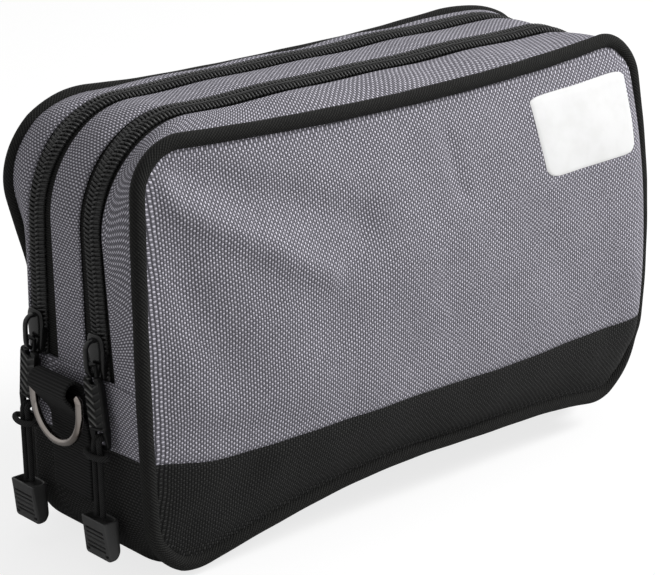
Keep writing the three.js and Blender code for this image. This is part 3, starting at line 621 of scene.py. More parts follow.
class Nodes:
    """The nodes of a material or of the world, and their output."""

    def __init__(self, owner, output):
        owner.use_nodes = True
        self.tree = owner.node_tree
        self.tree.nodes.clear()
        self.out = self.node(output)

    def node(self, kind, *inputs, settings=(), **named):
        """A node of a kind: its settings first, then the values or links of its sockets, which are
        given in their order or by name."""
        made = self.tree.nodes.new("ShaderNode" + kind)
        for key, value in dict(settings).items():
            setattr(made, key, value)
        for key, value in enumerate(inputs):
            self.feed(made, key, value)
        for key, value in named.items():
            self.feed(made, key.replace("_", " "), value)
        return made

    def feed(self, made, key, value):
        if isinstance(value, Field):
            self.tree.links.new(value.socket, made.inputs[key])
        else:
            made.inputs[key].default_value = value

    def field(self, kind, *inputs, output=0, **rest):
        return Field(self, self.node(kind, *inputs, **rest).outputs[output])

    def math(self, operation, *values):
        return self.field("Math", *values, settings={"operation": operation})

    def show(self, shader):
        self.feed(self.out, "Surface", shader)


class Recipe(Nodes):
    """One node material."""

    def __init__(self, name, **constants):
        self.material = bpy.data.materials.new(name)
        super().__init__(self.material, "OutputMaterial")
        self.shader = self.node("BsdfPrincipled", **constants)
        self.show(Field(self, self.shader.outputs[0]))

    def sin(self, value):
        return self.math("SINE", value)

    def cos(self, value):
        return self.math("COSINE", value)

    def step(self, value, low, high):
        """0 below low, 1 above high, with smooth shoulders between."""
        settings = {"interpolation_type": "SMOOTHSTEP"}
        return self.field("MapRange", settings=settings, Value=value, From_Min=low, From_Max=high)

    def colours(self, share, first, second):
        """A colour or field of colours from first to second."""
        made = self.node("Mix", share, settings={"data_type": "RGBA"})
        for key, value in ((6, first), (7, second)):
            self.feed(made, key, value if isinstance(value, Field) else (*value, 1))
        return Field(self, made.outputs[2])

    def surface(self):
        """The piece's own surface coordinates, along and across, in millimetres."""
        parts = self.node("SeparateXYZ", self.field("UVMap", settings={"uv_map": "cloth"}))
        return Field(self, parts.outputs[0]), Field(self, parts.outputs[1])

    def object_place(self):
        return self.field("TexCoord", output="Object")

    def at(self, x, y):
        return self.field("CombineXYZ", x, y)

    def noise(self, place, scale, detail=2.0):
        return self.field("TexNoise", Vector=place, Scale=scale, Detail=detail)

    def speckle(self, place):
        return self.field("TexWhiteNoise", settings={"noise_dimensions": "2D"}, Vector=place)

    def bump(self, height, depth):
        """Turns the surface's slope by a height field whose full depth is given in millimetres."""
        slope = self.field("Bump", Strength=1.0, Distance=depth * MM, Height=height)
        self.feed(self.shader, "Normal", slope)

    def paint(self, colour, roughness=None):
        self.feed(self.shader, "Base Color", colour)
        if roughness is not None:
            self.feed(self.shader, "Roughness", roughness)


def woven(name, light, dark, between, pitch, depth, shine):
    """Plain weave: cos(pi a) cos(pi b) of the yarn counts is 1 where a lengthwise yarn is on top
    and -1 where a crosswise one is, and waves of twice the rate make the spots longer than wide.
    Yarns wander a little and differ in shade from each other. Where a lengthwise yarn is on top it is
    painted in the light colour, partly its own tone and partly a painted highlight, and the dark ground
    between yarns is partly painted shade."""
    r = Recipe(name, Roughness=0.82, Specular_IOR_Level=shine)
    along, across = r.surface()
    here = r.at(along, across)
    drift = r.noise(here, 0.05, 1.0) - 0.5
    wander = r.noise(r.at(across, along), 0.35, 1.0) - 0.5
    a = along / pitch[0] + drift * 1.3 + wander * 0.22
    b = across / pitch[1] + drift * 0.9 - wander * 0.2
    crossing = r.cos(a * math.pi) * r.cos(b * math.pi)
    top = crossing * 0.86 + r.cos(a * (2 * math.pi)) * 0.16 - r.cos(b * (2 * math.pi)) * 0.14
    uneven = r.speckle(r.at(r.math("ROUND", a), r.math("ROUND", b)))
    # Partly painted highlight on the yarn tops, and partly painted shade in the dark ground between yarns.
    lit = r.step(top, -0.05, 0.8)
    weft = r.step(crossing * -1, 0.15, 0.95)
    ground = r.colours(weft * (0.55 + uneven * 0.6), dark, between)
    patch = r.noise(here, 0.03, 2.0)
    strength = lit * (0.82 + uneven * 0.24) * (0.86 + patch * 0.28)
    r.paint(r.colours(strength, ground, light), 0.9 - lit * 0.16)
    r.bump(r.math("ABSOLUTE", crossing) * 0.7 + lit * 0.3 + r.noise(here, 1.7) * 0.12, depth)
    return r.material


def braided(name, light, dark, pitch, depth):
    """Fine diagonal ridges at 45 degrees, crossed by weaker ones the other way."""
    r = Recipe(name, Roughness=0.85, Specular_IOR_Level=0.2)
    along, across = r.surface()
    wander = r.noise(r.at(along, across), 0.25, 1.0) - 0.5
    a = (along + across) / pitch + wander * 0.5
    b = (along - across) / pitch - wander * 0.4
    ridge = r.sin(a * (2 * math.pi)) * 0.36 + r.sin(b * (2 * math.pi)) * 0.14 + 0.5
    uneven = r.speckle(r.at(r.math("FLOOR", a), r.math("FLOOR", b)))
    r.paint(r.colours(r.step(ridge, 0.25, 0.95) * (0.6 + uneven * 0.5), dark, light))
    r.bump(ridge, depth)
    return r.material


def ribbed(name, light, dark, pitch, depth, shine):
    """Ribs across a tape or webbing: a sine along it, with a fine twill of diagonals on top."""
    r = Recipe(name, Roughness=0.85, Specular_IOR_Level=shine)
    along, across = r.surface()
    wander = r.noise(r.at(along, across), 0.4, 1.0) - 0.5
    rib = r.sin(along * (2 * math.pi / pitch) + wander * 0.8) * 0.5 + 0.5
    twill = r.sin((along * 0.6 + across) * (2 * math.pi / 0.9)) * 0.5 + 0.5
    height = rib * 0.65 + twill * 0.35
    r.paint(r.colours(r.step(height, 0.25, 0.95), dark, light))
    r.bump(height, depth)
    return r.material


def moulded(name, colour, patches_and_highlight, grain, roughness, shine=0.5):
    """Moulded plastic or enamel: fine grain in the surface, with slow patches of shade and gloss."""
    r = Recipe(name, Specular_IOR_Level=shine)
    fine = r.noise(r.object_place(), 2600.0, 3.0)
    slow = r.noise(r.object_place(), 120.0, 3.0)
    r.paint(r.colours(r.step(slow, 0.35, 0.75), colour, patches_and_highlight), roughness + slow * 0.12 + fine * 0.06)
    r.bump(fine, grain)
    return r.material


def chevroned(name, colour, patches_and_highlight):
    """Glossy plastic of a pull tab, with a painted highlight along its chevrons' crests, stronger on
    the limbs to the rear. The surface runs down the tab, and 12 across."""
    r = Recipe(name, Specular_IOR_Level=0.2)
    drop, across = r.surface()
    y = across - 6
    off = r.math("ABSOLUTE", y)
    phase = r.math("FRACT", (drop + off * 0.535) / CHEVRON_PITCH)
    # Painted highlight: the chevrons' crests are painted pale, more on the rear limbs, where light falls on
    # them.
    crest_highlight = r.step(phase, 0.06, 0.16) * (1 - r.step(phase, 0.2, 0.42))
    inside = r.step(drop, 6, 6.6) * (1 - r.step(drop, 30.2, 30.8)) * (1 - r.step(off, 5.2, 5.7))
    rear = 0.25 + r.step(y, -0.3, 0.3) * 0.75
    r.paint(r.colours(crest_highlight * inside * rear, colour, patches_and_highlight), 0.3)
    return r.material


def plated(name, colour, stain):
    """Antique nickel: polished, with slow stains that are warmer and a little duller."""
    r = Recipe(name, Metallic=1.0)
    stains = r.step(r.noise(r.object_place(), 60.0, 2.0), 0.4, 0.75)
    r.paint(r.colours(stains, colour, stain), 0.13 + stains * 0.08)
    return r.material


def grey(shade):
    return (shade, shade, shade)


# Finishes: the record's material slot and the material
GREY_CLOTH = "grey_cloth", woven(
    "grey_cloth", (0.81, 0.787, 0.883), (0.09, 0.087, 0.102), (0.285, 0.277, 0.316), (1.38, 1.12), 0.3, 0.25
)
BLACK_CLOTH = "black_cloth", woven(
    "black_cloth", (0.042, 0.042, 0.041), grey(0.005), (0.023, 0.023, 0.022), (1.38, 1.12), 0.35, 0.2
)
PIPING = "piping", braided("piping_cloth", (0.024, 0.024, 0.022), grey(0.003), 1.7, 0.3)
CORD = "cord", braided("cord_cover", grey(0.04), grey(0.005), 1.1, 0.2)
TAPE = "zipper_tape", ribbed("tape_knit", (0.03, 0.03, 0.029), grey(0.006), 1.2, 0.15, 0.15)
WEBBING = "webbing", ribbed("webbing_weave", grey(0.028), grey(0.003), 1.5, 0.3, 0.2)
COIL = "zipper_coil", moulded("coil_nylon", grey(0.02), (0.03, 0.03, 0.029), 0.02, 0.36, 0.4)
THREAD = "zipper_tape", moulded("thread", grey(0.03), grey(0.045), 0.05, 0.7, 0.2)
ENAMEL = "slider_enamel", moulded("enamel", grey(0.006), grey(0.01), 0.003, 0.12, 0.3)
GRIP_PLASTIC = "moulded_plastic", moulded("plastic", grey(0.03), grey(0.038), 0.01, 0.42)
# The tab's second colour is a painted highlight on its chevrons' crests.
TAB_PLASTIC = "moulded_plastic", chevroned("tab_plastic", grey(0.007), (0.15, 0.15, 0.145))
NICKEL = "nickel", plated("nickel", (0.33, 0.30, 0.28), (0.22, 0.185, 0.16))
LABEL = "label", moulded("label_vinyl", grey(0.86), (0.82, 0.82, 0.815), 0.02, 0.5)


# Bars, cords, outlines and strips


def sweep(path, section, scale=1.0, closed=False, keel=(0, 1, 0)):
    """A closed section carried along a path, square to it. The section's points are distances along
    the path's two cross axes, of which the second lies as near the keel as it can."""
    along = np.roll(path, -1, 0) - np.roll(path, 1, 0) if closed else np.gradient(path, axis=0)
    along = unit(along)
    first = unit(np.cross(along, np.array(keel, float) + 1e-6))
    second = np.cross(along, first)
    scale = np.broadcast_to(np.asarray(scale, float), (len(path),))
    ring = first[:, None] * section[:, 0, None] + second[:, None] * section[:, 1, None]
    points = path[:, None] + scale[:, None, None] * ring
    girth = run_length(np.vstack([section, section[:1]])) * scale.mean()
    if closed:
        return lattice(points, run_length(np.vstack([path, path[:1]])), girth, wrap_a=True, wrap_b=True)
    return capped(points, run_length(path), girth)


def tube(path, radius, sides, closed=False, keel=(0, 1, 0)):
    """A round bar along a path."""
    angle = np.linspace(0, 2 * np.pi, sides, endpoint=False)
    return sweep(path, np.stack([np.cos(angle), np.sin(angle)], -1), radius, closed, keel)


def smooth_path(points, count):
    """A Catmull-Rom line through points, evenly sampled."""
    points = np.asarray(points, float)
    padded = np.vstack([2 * points[0] - points[1], points, 2 * points[-1] - points[-2]])
    a, b, c, d = (padded[k : k + len(points) - 1, None] for k in range(4))
    s = np.linspace(0, 1, 24, endpoint=False)[:, None]
    bend = (2 * a - 5 * b + 4 * c - d) * s**2 + (3 * b - a - 3 * c + d) * s**3
    dense = np.vstack([(0.5 * (2 * b + (c - a) * s + bend)).reshape(-1, 3), points[-1:]])
    run = run_length(dense)
    at = np.linspace(0, run[-1], count)
    return np.stack([np.interp(at, run, dense[:, k]) for k in range(3)], -1)


def normals(grid, side):
    """Unit normals of a grid that point out of the bag."""
    out = unit(np.cross(np.gradient(grid, axis=0), np.gradient(grid, axis=1)))
    return out * np.where(out[..., 1:2] * side < 0, -1, 1)


def nose_loop(y0, y1, outer, inner, step):
    """A strip's closed section as (distance from the divider, inset): flat faces between two round
    noses whose radius is half the thickness."""
    radius, middle = (inner - outer) / 2, (inner + outer) / 2
    count = max(2, int(round((y1 - y0) / step)))
    flat = np.linspace(y0 + radius, y1 - radius, count + 1)
    bend = np.linspace(-np.pi / 2, np.pi / 2, 7)[1:-1]
    far = np.stack([y1 - radius + radius * np.cos(bend), middle + radius * np.sin(bend)], -1)
    near = np.stack([y0 + radius - radius * np.cos(bend), middle - radius * np.sin(bend)], -1)
    top = np.stack([flat, np.full_like(flat, outer)], -1)
    back = np.stack([flat[::-1], np.full_like(flat, inner)], -1)
    return np.vstack([top, far, back, near])


def rounded(corners, radii, steps=7):
    """A closed outline whose corners are parabolic arcs between points a radius away from them."""
    corners = np.asarray(corners, float)
    radii = np.broadcast_to(np.asarray(radii, float), (len(corners),))[:, None]
    start = corners + unit(np.roll(corners, 1, 0) - corners) * radii
    end = corners + unit(np.roll(corners, -1, 0) - corners) * radii
    s = np.linspace(0, 1, steps)[:, None, None]
    arcs = (1 - s) ** 2 * start + 2 * s * (1 - s) * corners + s**2 * end
    return arcs.transpose(1, 0, 2).reshape(-1, 2)


def bar_section(half_thick, half_wide):
    """Oblong with rounded corners, as the section of a flat bar."""
    x, y = half_thick, half_wide
    return rounded([(-x, -y), (x, -y), (x, y), (-x, y)], min(x, y) * 0.75, 5)


# Hardware of the left end, in frames whose axes are out from the end, along Y and up


def frame_at(origin, lean=0.0):
    """Places points given as (out, along Y, up) about an origin, leaning about the X axis."""
    c, s = math.cos(lean), math.sin(lean)
    axes = np.array([[-1, 0, 0], [0, c, s], [0, -s, c]])

    def place(points):
        return np.asarray(origin, float) + np.asarray(points, float) @ axes

    return place


def pull_frames(side):
    """Frames of one zipper's slider, tab and cord."""
    slope = math.atan(ZIP_SPREAD / (TOP_HEIGHT - FOLD_SEAM))
    middle = (-END_OUT, side * (ZIP_TOP_Y + zip_spread(SLIDER_HEIGHT)), SLIDER_HEIGHT)
    slider = frame_at(middle, side * slope)
    tab = frame_at(slider((BAR_OUT, 0, -BAR_DROP)), side * TAB_LEAN)
    return slider, tab, frame_at(tab((0, 0, -TAB_HOLE_DROP)))


def cord_line(place):
    """Up from the moulded end, through the tab's hole, across behind it and back down. Both bends
    are quarter circles through a point at half their angle."""
    foot = GRIP_TOP + 0.3
    half_way = math.sqrt(0.5)
    rising = [
        (STRAND_OUT, CORD_SPREAD, foot),
        (STRAND_OUT, CORD_SPREAD, mix(foot, TURN_HEIGHT, 0.4)),
        (STRAND_OUT, CORD_SPREAD, mix(foot, TURN_HEIGHT, 0.77)),
        (STRAND_OUT, CORD_SPREAD, TURN_HEIGHT),
        (STRAND_OUT, mix(CORD_SPREAD, IN_HOLE, 0.3), -4.5),
        (STRAND_OUT, mix(CORD_SPREAD, IN_HOLE, 0.7), -BEND),
        (STRAND_OUT - BEND * (1 - half_way), mix(CORD_SPREAD, IN_HOLE, 0.9), -BEND * (1 - half_way)),
        (STRAND_OUT - BEND, IN_HOLE, 0),
        (IN_HOLE - LOOP_BACK, IN_HOLE, 0),
        (IN_HOLE * (1 - half_way) - LOOP_BACK, IN_HOLE * half_way, 0),
    ]
    falling = [(out, -y, z) for out, y, z in rising[::-1]]
    return smooth_path(place([*rising, (-LOOP_BACK, 0, 0), *falling]), 161)


def turn_line(place):
    """One turn round both strands: an ellipse whose sides rise and whose front hangs a little."""
    angle = np.linspace(0, 2 * np.pi, 72, endpoint=False)
    out = STRAND_OUT + 3.0 * np.cos(angle)
    up = TURN_HEIGHT + 0.5 * np.sin(angle) ** 2 - 0.4 * clamp(np.cos(angle))
    return place(np.stack([out, TURN_REACH * np.sin(angle), up], -1))


def grip_part(place):
    """A moulded cup of level rings: round the foot, up the outside, over the lip and down inside.
    Its face is cut by slots and by two square holes near the foot."""
    turn, lip = np.linspace(0, np.pi / 2, 4), np.linspace(0, np.pi, 7)
    outside = np.linspace(1.0, GRIP_HEIGHT - 0.7, 64)
    over_lip = GRIP_HEIGHT - 0.6 + 0.6 * np.sin(lip)
    height = np.concatenate([0.8 * (1 - np.cos(turn)), outside, over_lip, [18, 16]])[:, None]
    insets = 0.8 * (1 - np.sin(turn)), 0 * outside, 0.6 - 0.6 * np.cos(lip), [1.2, 1.3]
    inset = np.concatenate(insets)[:, None]
    half = np.interp(height, [2, GRIP_HEIGHT - GRIP_SHOULDER], [GRIP_HALF_FOOT, GRIP_HALF_TOP])
    half = half - 2 * (1 - rolled(height, 2)) - inset
    front = GRIP_FACE - 2.4 * (1 - height / GRIP_HEIGHT) - inset
    back = GRIP_BACK + 5 * (1 - rolled(height, 5)) + inset
    small, large = (np.minimum(radius, (front - back) / 2 - 0.1) for radius in (1.0, 3.0))
    near, side, far = (np.linspace(0, 1, n) for n in (61, 5, 9))
    a = np.linspace(0, np.pi / 2, 6)[1:-1]
    face, corner, wall, heel, rear = (
        triples(y, out)
        for y, out in (
            ((2 * near - 1) * (half - small), front),
            (half - small * (1 - np.sin(a)), front - small * (1 - np.cos(a))),
            (half, mix(front - small, back + large, side)),
            (half - large * (1 - np.cos(a)), back + large * (1 - np.sin(a))),
            ((1 - 2 * far) * (half - large), back),
        )
    )
    right = np.concatenate([corner, wall, heel], 1)
    ring = np.concatenate([face, right, rear[:, 1:-1], right[:, ::-1] * [-1, 1]], 1)
    y = ring[..., 0]
    slot = 0
    for k in range(GRIP_SLOTS):
        middle = GRIP_HEIGHT - GRIP_SHOULDER - k * GRIP_SLOT_PITCH
        slot = slot + ramp(np.abs(height - middle), GRIP_SLOT_HALF, GRIP_SLOT_HALF - 0.3)
    cut = GRIP_SLOT_DEPTH * slot * ramp(np.abs(y), GRIP_HALF_TOP - 1.9, GRIP_HALF_TOP - 2.3)
    hole = ramp(np.abs(height - GRIP_HOLE_UP), 0.9, 0.6)
    hole = hole * ramp(np.abs(np.abs(y) - GRIP_HOLE_OUT), 1.3, 1.0)
    on_face = (inset == 0) & (np.arange(ring.shape[1]) < len(near))
    depth = np.where(on_face, np.maximum(cut, GRIP_HOLE_DEPTH * hole), 0)
    points = place(triples(ring[..., 1] - depth, y, height + GRIP_TOP - GRIP_HEIGHT))
    return capped(points, np.arange(len(points)), np.arange(points.shape[1] + 1))


def tab_face(y, drop):
    """Half thickness of the tab: chevrons that rise steeply and fall slowly, between plain edges."""
    phase = (drop + 0.51 * np.abs(y)) / CHEVRON_PITCH
    phase = phase - np.floor(phase)
    ridge = np.where(phase < 0.2, phase / 0.2, (1 - phase) / 0.8)
    inside = ramp(np.abs(y), TAB_HALF_WIDTH - 0.5, TAB_HALF_WIDTH - 1)
    inside = inside * ramp(drop, 5.8, 6.4) * ramp(drop, PLATE_FOOT - 0.1, PLATE_FOOT - 0.7)
    return 2 - 0.95 * (1 - ridge) * inside


def tab_shoulder(drop):
    """Half width of the tab at a drop from its bar, rounded towards its shoulders."""
    return TAB_HALF_WIDTH - 2.4 * (1 - rolled(drop - TAB_SHOULDER, 2.6))


def tab_plate(place, edges, start, end, ends=True):
    """Part of the tab between two edges, given as a function of the drop from its bar, with rolled
    rims and a back that is thinner over the slider."""
    drop = np.linspace(start, end, int((end - start) / PLATE_STEP) + 2)[:, None]
    low, high = (0 * drop + edge for edge in edges(drop))
    y = mix(low, high, np.linspace(0, 1, 1 + int(np.max(high - low) / PLATE_STEP))[None, :])
    away = np.minimum(np.minimum(y - low, high - y), drop - start)
    if ends:
        away = np.minimum(away, end - drop)
    back = mix(1.2, 2.0, ramp(drop, 8.2, 9.4))
    roll = np.maximum(rolled(away, 0.7), 0.04)
    faces = (place(triples(out * roll, y, -drop)) for out in (tab_face(y, drop), -back))
    return slab(*faces, drop, 6 + y * (6 / TAB_HALF_WIDTH))


def lug_ring(place):
    """The tab's lower end round the cord's hole: an outline joined to the hole's by a section that
    is thin under the hole and thick at the sides."""
    half = TAB_HALF_WIDTH
    corners = [(half, -LUG_TOP), (-half, -LUG_TOP), (-half, -TAB_LENGTH), (half, -TAB_LENGTH)]
    outer = rounded(corners, [0.5, 0.5, 2.6, 2.6])
    hole = rounded([(3.5, -31), (-3.5, -31), (-3.5, -38), (3.5, -38)], [3.0, 3.0, 1.0, 1.0])
    share = np.array([0, 0.06, 0.2, 0.5, 0.8, 0.94, 1])
    spots = hole[:, None] + (outer - hole)[:, None] * share[None, :, None]
    y, up = spots[..., 0], spots[..., 1]
    side = ramp(np.abs(y), 4, 5.2) * clamp((39 + up) / 6)
    thick = mix(0.9, 2.0, np.maximum(side, ramp(up, -31.4, -30.6)))
    thick = thick * np.array([0.35, 0.8, 1, 1, 1, 0.8, 0.35])
    front = np.stack([thick, y, up], -1)
    points = place(np.concatenate([front, front[:, ::-1] * [-1, 1, 1]], 1))
    plain = np.zeros((len(outer) + 1, points.shape[1] + 1))
    return lattice(points, plain, plain, wrap_a=True, wrap_b=True)


def tab_parts(place):
    """The tab: two arms and the bar that they hang by, its plate, its shoulders and its lug."""
    lines = [[(0, y, up) for up in (0.3, -2.5, -7.0)] for y in (-2.9, 2.9)]
    arms = [sweep(place(line), bar_section(0.9, 0.8)) for line in lines]
    bar = tube(place([(0, y, 0) for y in np.linspace(-3.6, 3.6, 9)]), 0.9, 14, keel=(0, 0, 1))
    return [
        *arms,
        bar,
        lug_ring(place),
        tab_plate(place, lambda drop: (-TAB_HALF_WIDTH, TAB_HALF_WIDTH), PLATE_TOP, PLATE_FOOT),
        tab_plate(place, lambda drop: (TAB_ARM, tab_shoulder(drop)), TAB_SHOULDER, TAB_ARM_FOOT, False),
        tab_plate(place, lambda drop: (-tab_shoulder(drop), -TAB_ARM), TAB_SHOULDER, TAB_ARM_FOOT, False),
    ]


def slider_shell(place):
    """The slider's outer plate with its two flanges: one closed section whose width and flanges
    change along the zipper."""
    ends = np.array([10.1, 10.6, 10.9, SLIDER_HALF_LENGTH])
    up = np.concatenate([-ends[::-1], np.linspace(-9.5, 9.5, 34), ends])[:, None]
    half = np.interp(up, [-SLIDER_HALF_LENGTH, -7, 3.7, 7.5, SLIDER_HALF_LENGTH], [4.6, 4.9, 6.2, 6.0, 5.0])
    half = half - 2.2 * (1 - rolled(SLIDER_HALF_LENGTH - np.abs(up), 2.2))
    flange = ramp(up, -10.3, -9.1) * ramp(up, 3.2, 1.2)
    foot = mix(2.25, -0.4, flange)
    bend = np.linspace(0, np.pi / 2, 5)
    top = np.linspace(0, 1, 6)[:-1]
    parts = [
        (top * (half - 1.2), 3.75 - 0.3 * (top * (half - 1.2) / half) ** 2),
        (half - 1.2 + 1.2 * np.sin(bend), 2.3 + 1.2 * np.cos(bend)),
        (half, foot + 0.4),
        (half - 0.4, foot),
        (half - 0.9, foot + 0.2),
        (half - 1.0, np.full_like(half, 2.3)),
        (half * 0.5, np.full_like(half, 2.1)),
        (0 * half, np.full_like(half, 2.1)),
    ]
    right = np.concatenate([triples(y, out) for y, out in parts], 1)
    ring = np.concatenate([right, right[:, -2:0:-1] * [-1, 1]], 1)
    middle = 2.9
    thin = 0.35 + 0.65 * rolled(SLIDER_HALF_LENGTH - np.abs(up), 0.7)
    points = place(triples(middle + (ring[..., 1] - middle) * thin, ring[..., 0], up))
    return capped(points, up[:, 0], np.arange(points.shape[1] + 1))


def slider_back(place):
    """The slider's inner plate, under the tapes: layers of one outline with a rolled edge."""
    low, high = -SLIDER_HALF_LENGTH, SLIDER_HALF_LENGTH
    outline = rounded([(-4.6, low), (4.6, low), (6.2, 3.7), (5.2, high), (-5.2, high), (-6.2, 3.7)], 1.5)
    centre = outline.mean(0)
    layers = [(-2.5, 0.4), (-2.8, 0.0), (-3.8, 0.0), (-4.1, 0.4)]
    rings = [
        np.column_stack([np.full(len(outline), out), centre + (outline - centre) * (1 - inset / 8)])
        for out, inset in layers
    ]
    return capped(place(np.stack(rings)), np.arange(len(layers)), np.arange(len(outline) + 1))


# Half of the bridge over the slider's face, from its foot to its middle, as (out, up)
BRIDGE_HALF = [(2.6, -8.2), (4.6, -8.25), (6.5, -7.6), (7.9, -6.0), (8.4, -3.6)]


def slider_parts(place):
    """The slider's two plates, the post between them and the bridge over its face, a flat bar that
    is wider where it meets the plate."""
    mirrored = [(out, -up) for out, up in BRIDGE_HALF[::-1]]
    line = smooth_path([(out, 0, up) for out, up in [*BRIDGE_HALF, (8.45, 0.0), *mirrored]], 60)
    wide = 1 + 0.35 * ramp(line[:, 0], 6.5, 3)
    post = [(out, 0, 6.5) for out in (-2.6, -1, 1, 2.4)]
    return [
        slider_shell(place),
        slider_back(place),
        sweep(place(line), bar_section(0.85, 1.3), wide),
        sweep(place(post), bar_section(0.5, 3.4), keel=(0, 0, 1)),
    ]


def ring_line(place):
    """The ring's D: a straight bar, rounded corners, short straights and half a circle."""
    half, corner = RING_HALF_WIDTH, RING_CORNER
    a = np.linspace(0, np.pi / 2, 8)
    bend = np.linspace(0, np.pi, 72)
    bar = np.stack([np.linspace(corner - half, half - corner, 40)[1:-1], np.zeros(38)], -1)
    turn = np.stack([half - corner * (1 - np.sin(a)), -corner * (1 - np.cos(a))], -1)
    bow = np.stack([half * np.cos(bend), -RING_STRAIGHT - half * np.sin(bend)], -1)
    line = np.vstack([bar, turn, bow, (turn * [-1, 1])[::-1]])
    return place(np.column_stack([np.zeros(len(line)), line]))


def webbing_line(place):
    """The webbing's middle: up the end, round the ring's bar and back down over itself."""
    a = np.linspace(np.pi, -0.63, 40)[2:]
    loop = (LOOP_OUT, LOOP_HEIGHT) + LOOP_MIDDLE_RADIUS * triples(np.cos(a), np.sin(a))
    rising = [(1.0, WEB_FOOT), (1.0, 50), (1.0, 66), (1.0, 78), (1.9, 83.5), (3.9, 86.6)]
    falling = [(10.2, 81.6), (6.2, 76.6), (3.4, 72.6), (2.5, 66), (2.4, 50), (2.4, WEB_FOOT)]
    return place(smooth_path([(out, 0, up) for out, up in [*rising, *loop, *falling]], 220))


SIDES = (("front", -1), ("rear", 1))

for name, side in SIDES:
    slider_frame, tab_frame, cord_frame = pull_frames(side)
    pulled = f"{name}_pull_cord"
    line = cord_line(cord_frame)
    strands = tube(line, CORD_RADIUS, 16, keel=(1, 0, -1))
    cord = make_piece(f"{name}_cord", [strands], CORD, pulled, (pulled,))
    around = tube(turn_line(cord_frame), CORD_RADIUS, 16, closed=True, keel=(0, 0, 1))
    turn = make_piece(f"{name}_cord_turn", [around], CORD, pulled)
    float(run_length(line)[-1] * MM)
    make_piece(f"{name}_grip", [grip_part(cord_frame)], GRIP_PLASTIC, pulled, (f"{name}_cord_grip",), 32)
    tab = f"{name}_pull_tab"
    make_piece(f"{name}_tab", tab_parts(tab_frame), TAB_PLASTIC, tab, (tab,), 32)
    slider = f"{name}_slider"
    make_piece(f"{name}_slider_body", slider_parts(slider_frame), ENAMEL, slider, (slider,), 40)

ring_frame = frame_at((-END_OUT - LOOP_OUT, 0, RING_BAR_HEIGHT))
ring_wire = tube(ring_line(ring_frame), RING_WIRE, 28, closed=True, keel=(1, 0, 0))
make_piece("ring", [ring_wire], NICKEL, "d_ring", ("d_ring",))
web_section = nose_loop(-WEB_HALF_WIDTH, WEB_HALF_WIDTH, -0.7, 0.7, 1.0)[:, ::-1]
web = sweep(webbing_line(frame_at((-END_OUT, 0, 0))), web_section)
make_piece("webbing", [web], WEBBING, "bag", ("webbing_tab",))


def label_part():
    """The label: a patch of the front's own surface with round corners, raised off the cloth."""
    a = np.linspace(0, 1, 61)[None, :]
    b = np.linspace(0, 1, 49)[:, None]
    near = 0.8 * 0.13 * (1 - rolled(np.minimum(b, 1 - b), 0.13))
    a = mix(near, 1 - near, a)
    p = mix(LABEL_LEFT + 0.02 * (1 - b), LABEL_RIGHT - 0.012 * (1 - b), a)
    grid = panel_points(-1, p, mix(LABEL_LOW, LABEL_HIGH, b + 0 * a))
    out = normals(grid, -1)
    across, up = np.minimum(a - near, 1 - near - a) * LABEL_LENGTH, np.minimum(b, 1 - b) * LABEL_HEIGHT
    raised = 0.15 + 0.4 * rolled(np.minimum(across, up), 0.5)
    outer, inner = grid + out * raised[..., None], grid - out * 0.4
    return slab(outer, inner, b[:, 0] * LABEL_HEIGHT, np.linspace(0, LABEL_LENGTH, a.shape[1]))


make_piece("label", [label_part()], LABEL, "front_flap", ("label_patch",), 40)


# Cloth strips, tapes and piping, laid on the master surface

CLOTH_STEP = 1.6
TAPE_STEP = 2.0


def stations(t0, t1, step, v):
    """Ring parameters from t0 to t1, about step apart along the ring at depth v, and the length
    run up to each of them."""
    dense = np.linspace(t0, t1, 1600)
    run = run_length(ring_points(dense, v))
    at = np.linspace(0, run[-1], max(2, int(round(run[-1] / step))) + 1)
    return np.interp(at, run, dense), at


def strip(t0, t1, loop, side, step, lip=1.0):
    """A strip of cloth: its section carried along the ring, thinned to a round lip at both ends.
    The band seam on the left end slants down towards the front."""
    t, run = stations(t0, t1, step, side * loop[:, 0].mean() / RIM_HALF_DEPTH)
    thick = np.ones_like(run)
    if lip:
        extra = np.array([0.05, 0.3, 0.7]) * lip
        all_runs = np.sort(np.concatenate([run, extra, run[-1] - extra]))
        t, run = np.interp(all_runs, run, t), all_runs
        thick = np.maximum(rolled(np.minimum(run, run[-1] - run), lip), 0.03)
    middle = loop[:, 1].min() / 2 + loop[:, 1].max() / 2
    inset = middle + (loop[:, 1] - middle)[None, :] * thick[:, None]
    v = side * loop[None, :, 0] / RIM_HALF_DEPTH
    t = t[:, None] + 0.0105 * (1 - v) * seam_tent(np.mod(t, 4))[:, None]
    girth = run_length(loop)
    return capped(bag_points(t, v, inset), run, np.append(girth, girth[-1] + 1) + loop[0, 0])


def panel_part(side, q0, q1):
    """Rows q0 to q1 of the front or rear as a sheet of cloth whose edges lie under the piping."""
    length = 2 * RIM_HALF_LENGTH
    p = np.linspace(0, 1, int(length / CLOTH_STEP) + 1)
    p = p + 0.02 * np.sin(2 * np.pi * p) * (p > 0.5) * (side < 0)
    low, high = height_share(q0), height_share(q1)
    heights = np.linspace(low, high, int(TOP_HEIGHT * (high - low) / CLOTH_STEP) + 1)
    q = np.interp(heights, [height_share(share) for share in SEAM_SHARES], SEAM_SHARES)
    q = q[:, None] + seam_rise(side, p) * seam_tent(q)[:, None]
    grid = panel_points(side, p[None, :], q)
    edge = panel_sheet(side, p[None, :], q, 1.5)
    share = height_share(q)
    near = np.minimum(np.minimum(p, 1 - p)[None, :] * length, np.minimum(share, 1 - share) * TOP_HEIGHT)
    tuck = 1 - smooth(near / 7)
    grid[..., ::2] = mix(grid, edge, tuck[..., None])[..., ::2]
    sheet = panel_sheet(side, p[None, :], q)
    return slab(grid, grid - normals(grid, side) * CLOTH, sheet[..., 0] + 200, sheet[..., 2])


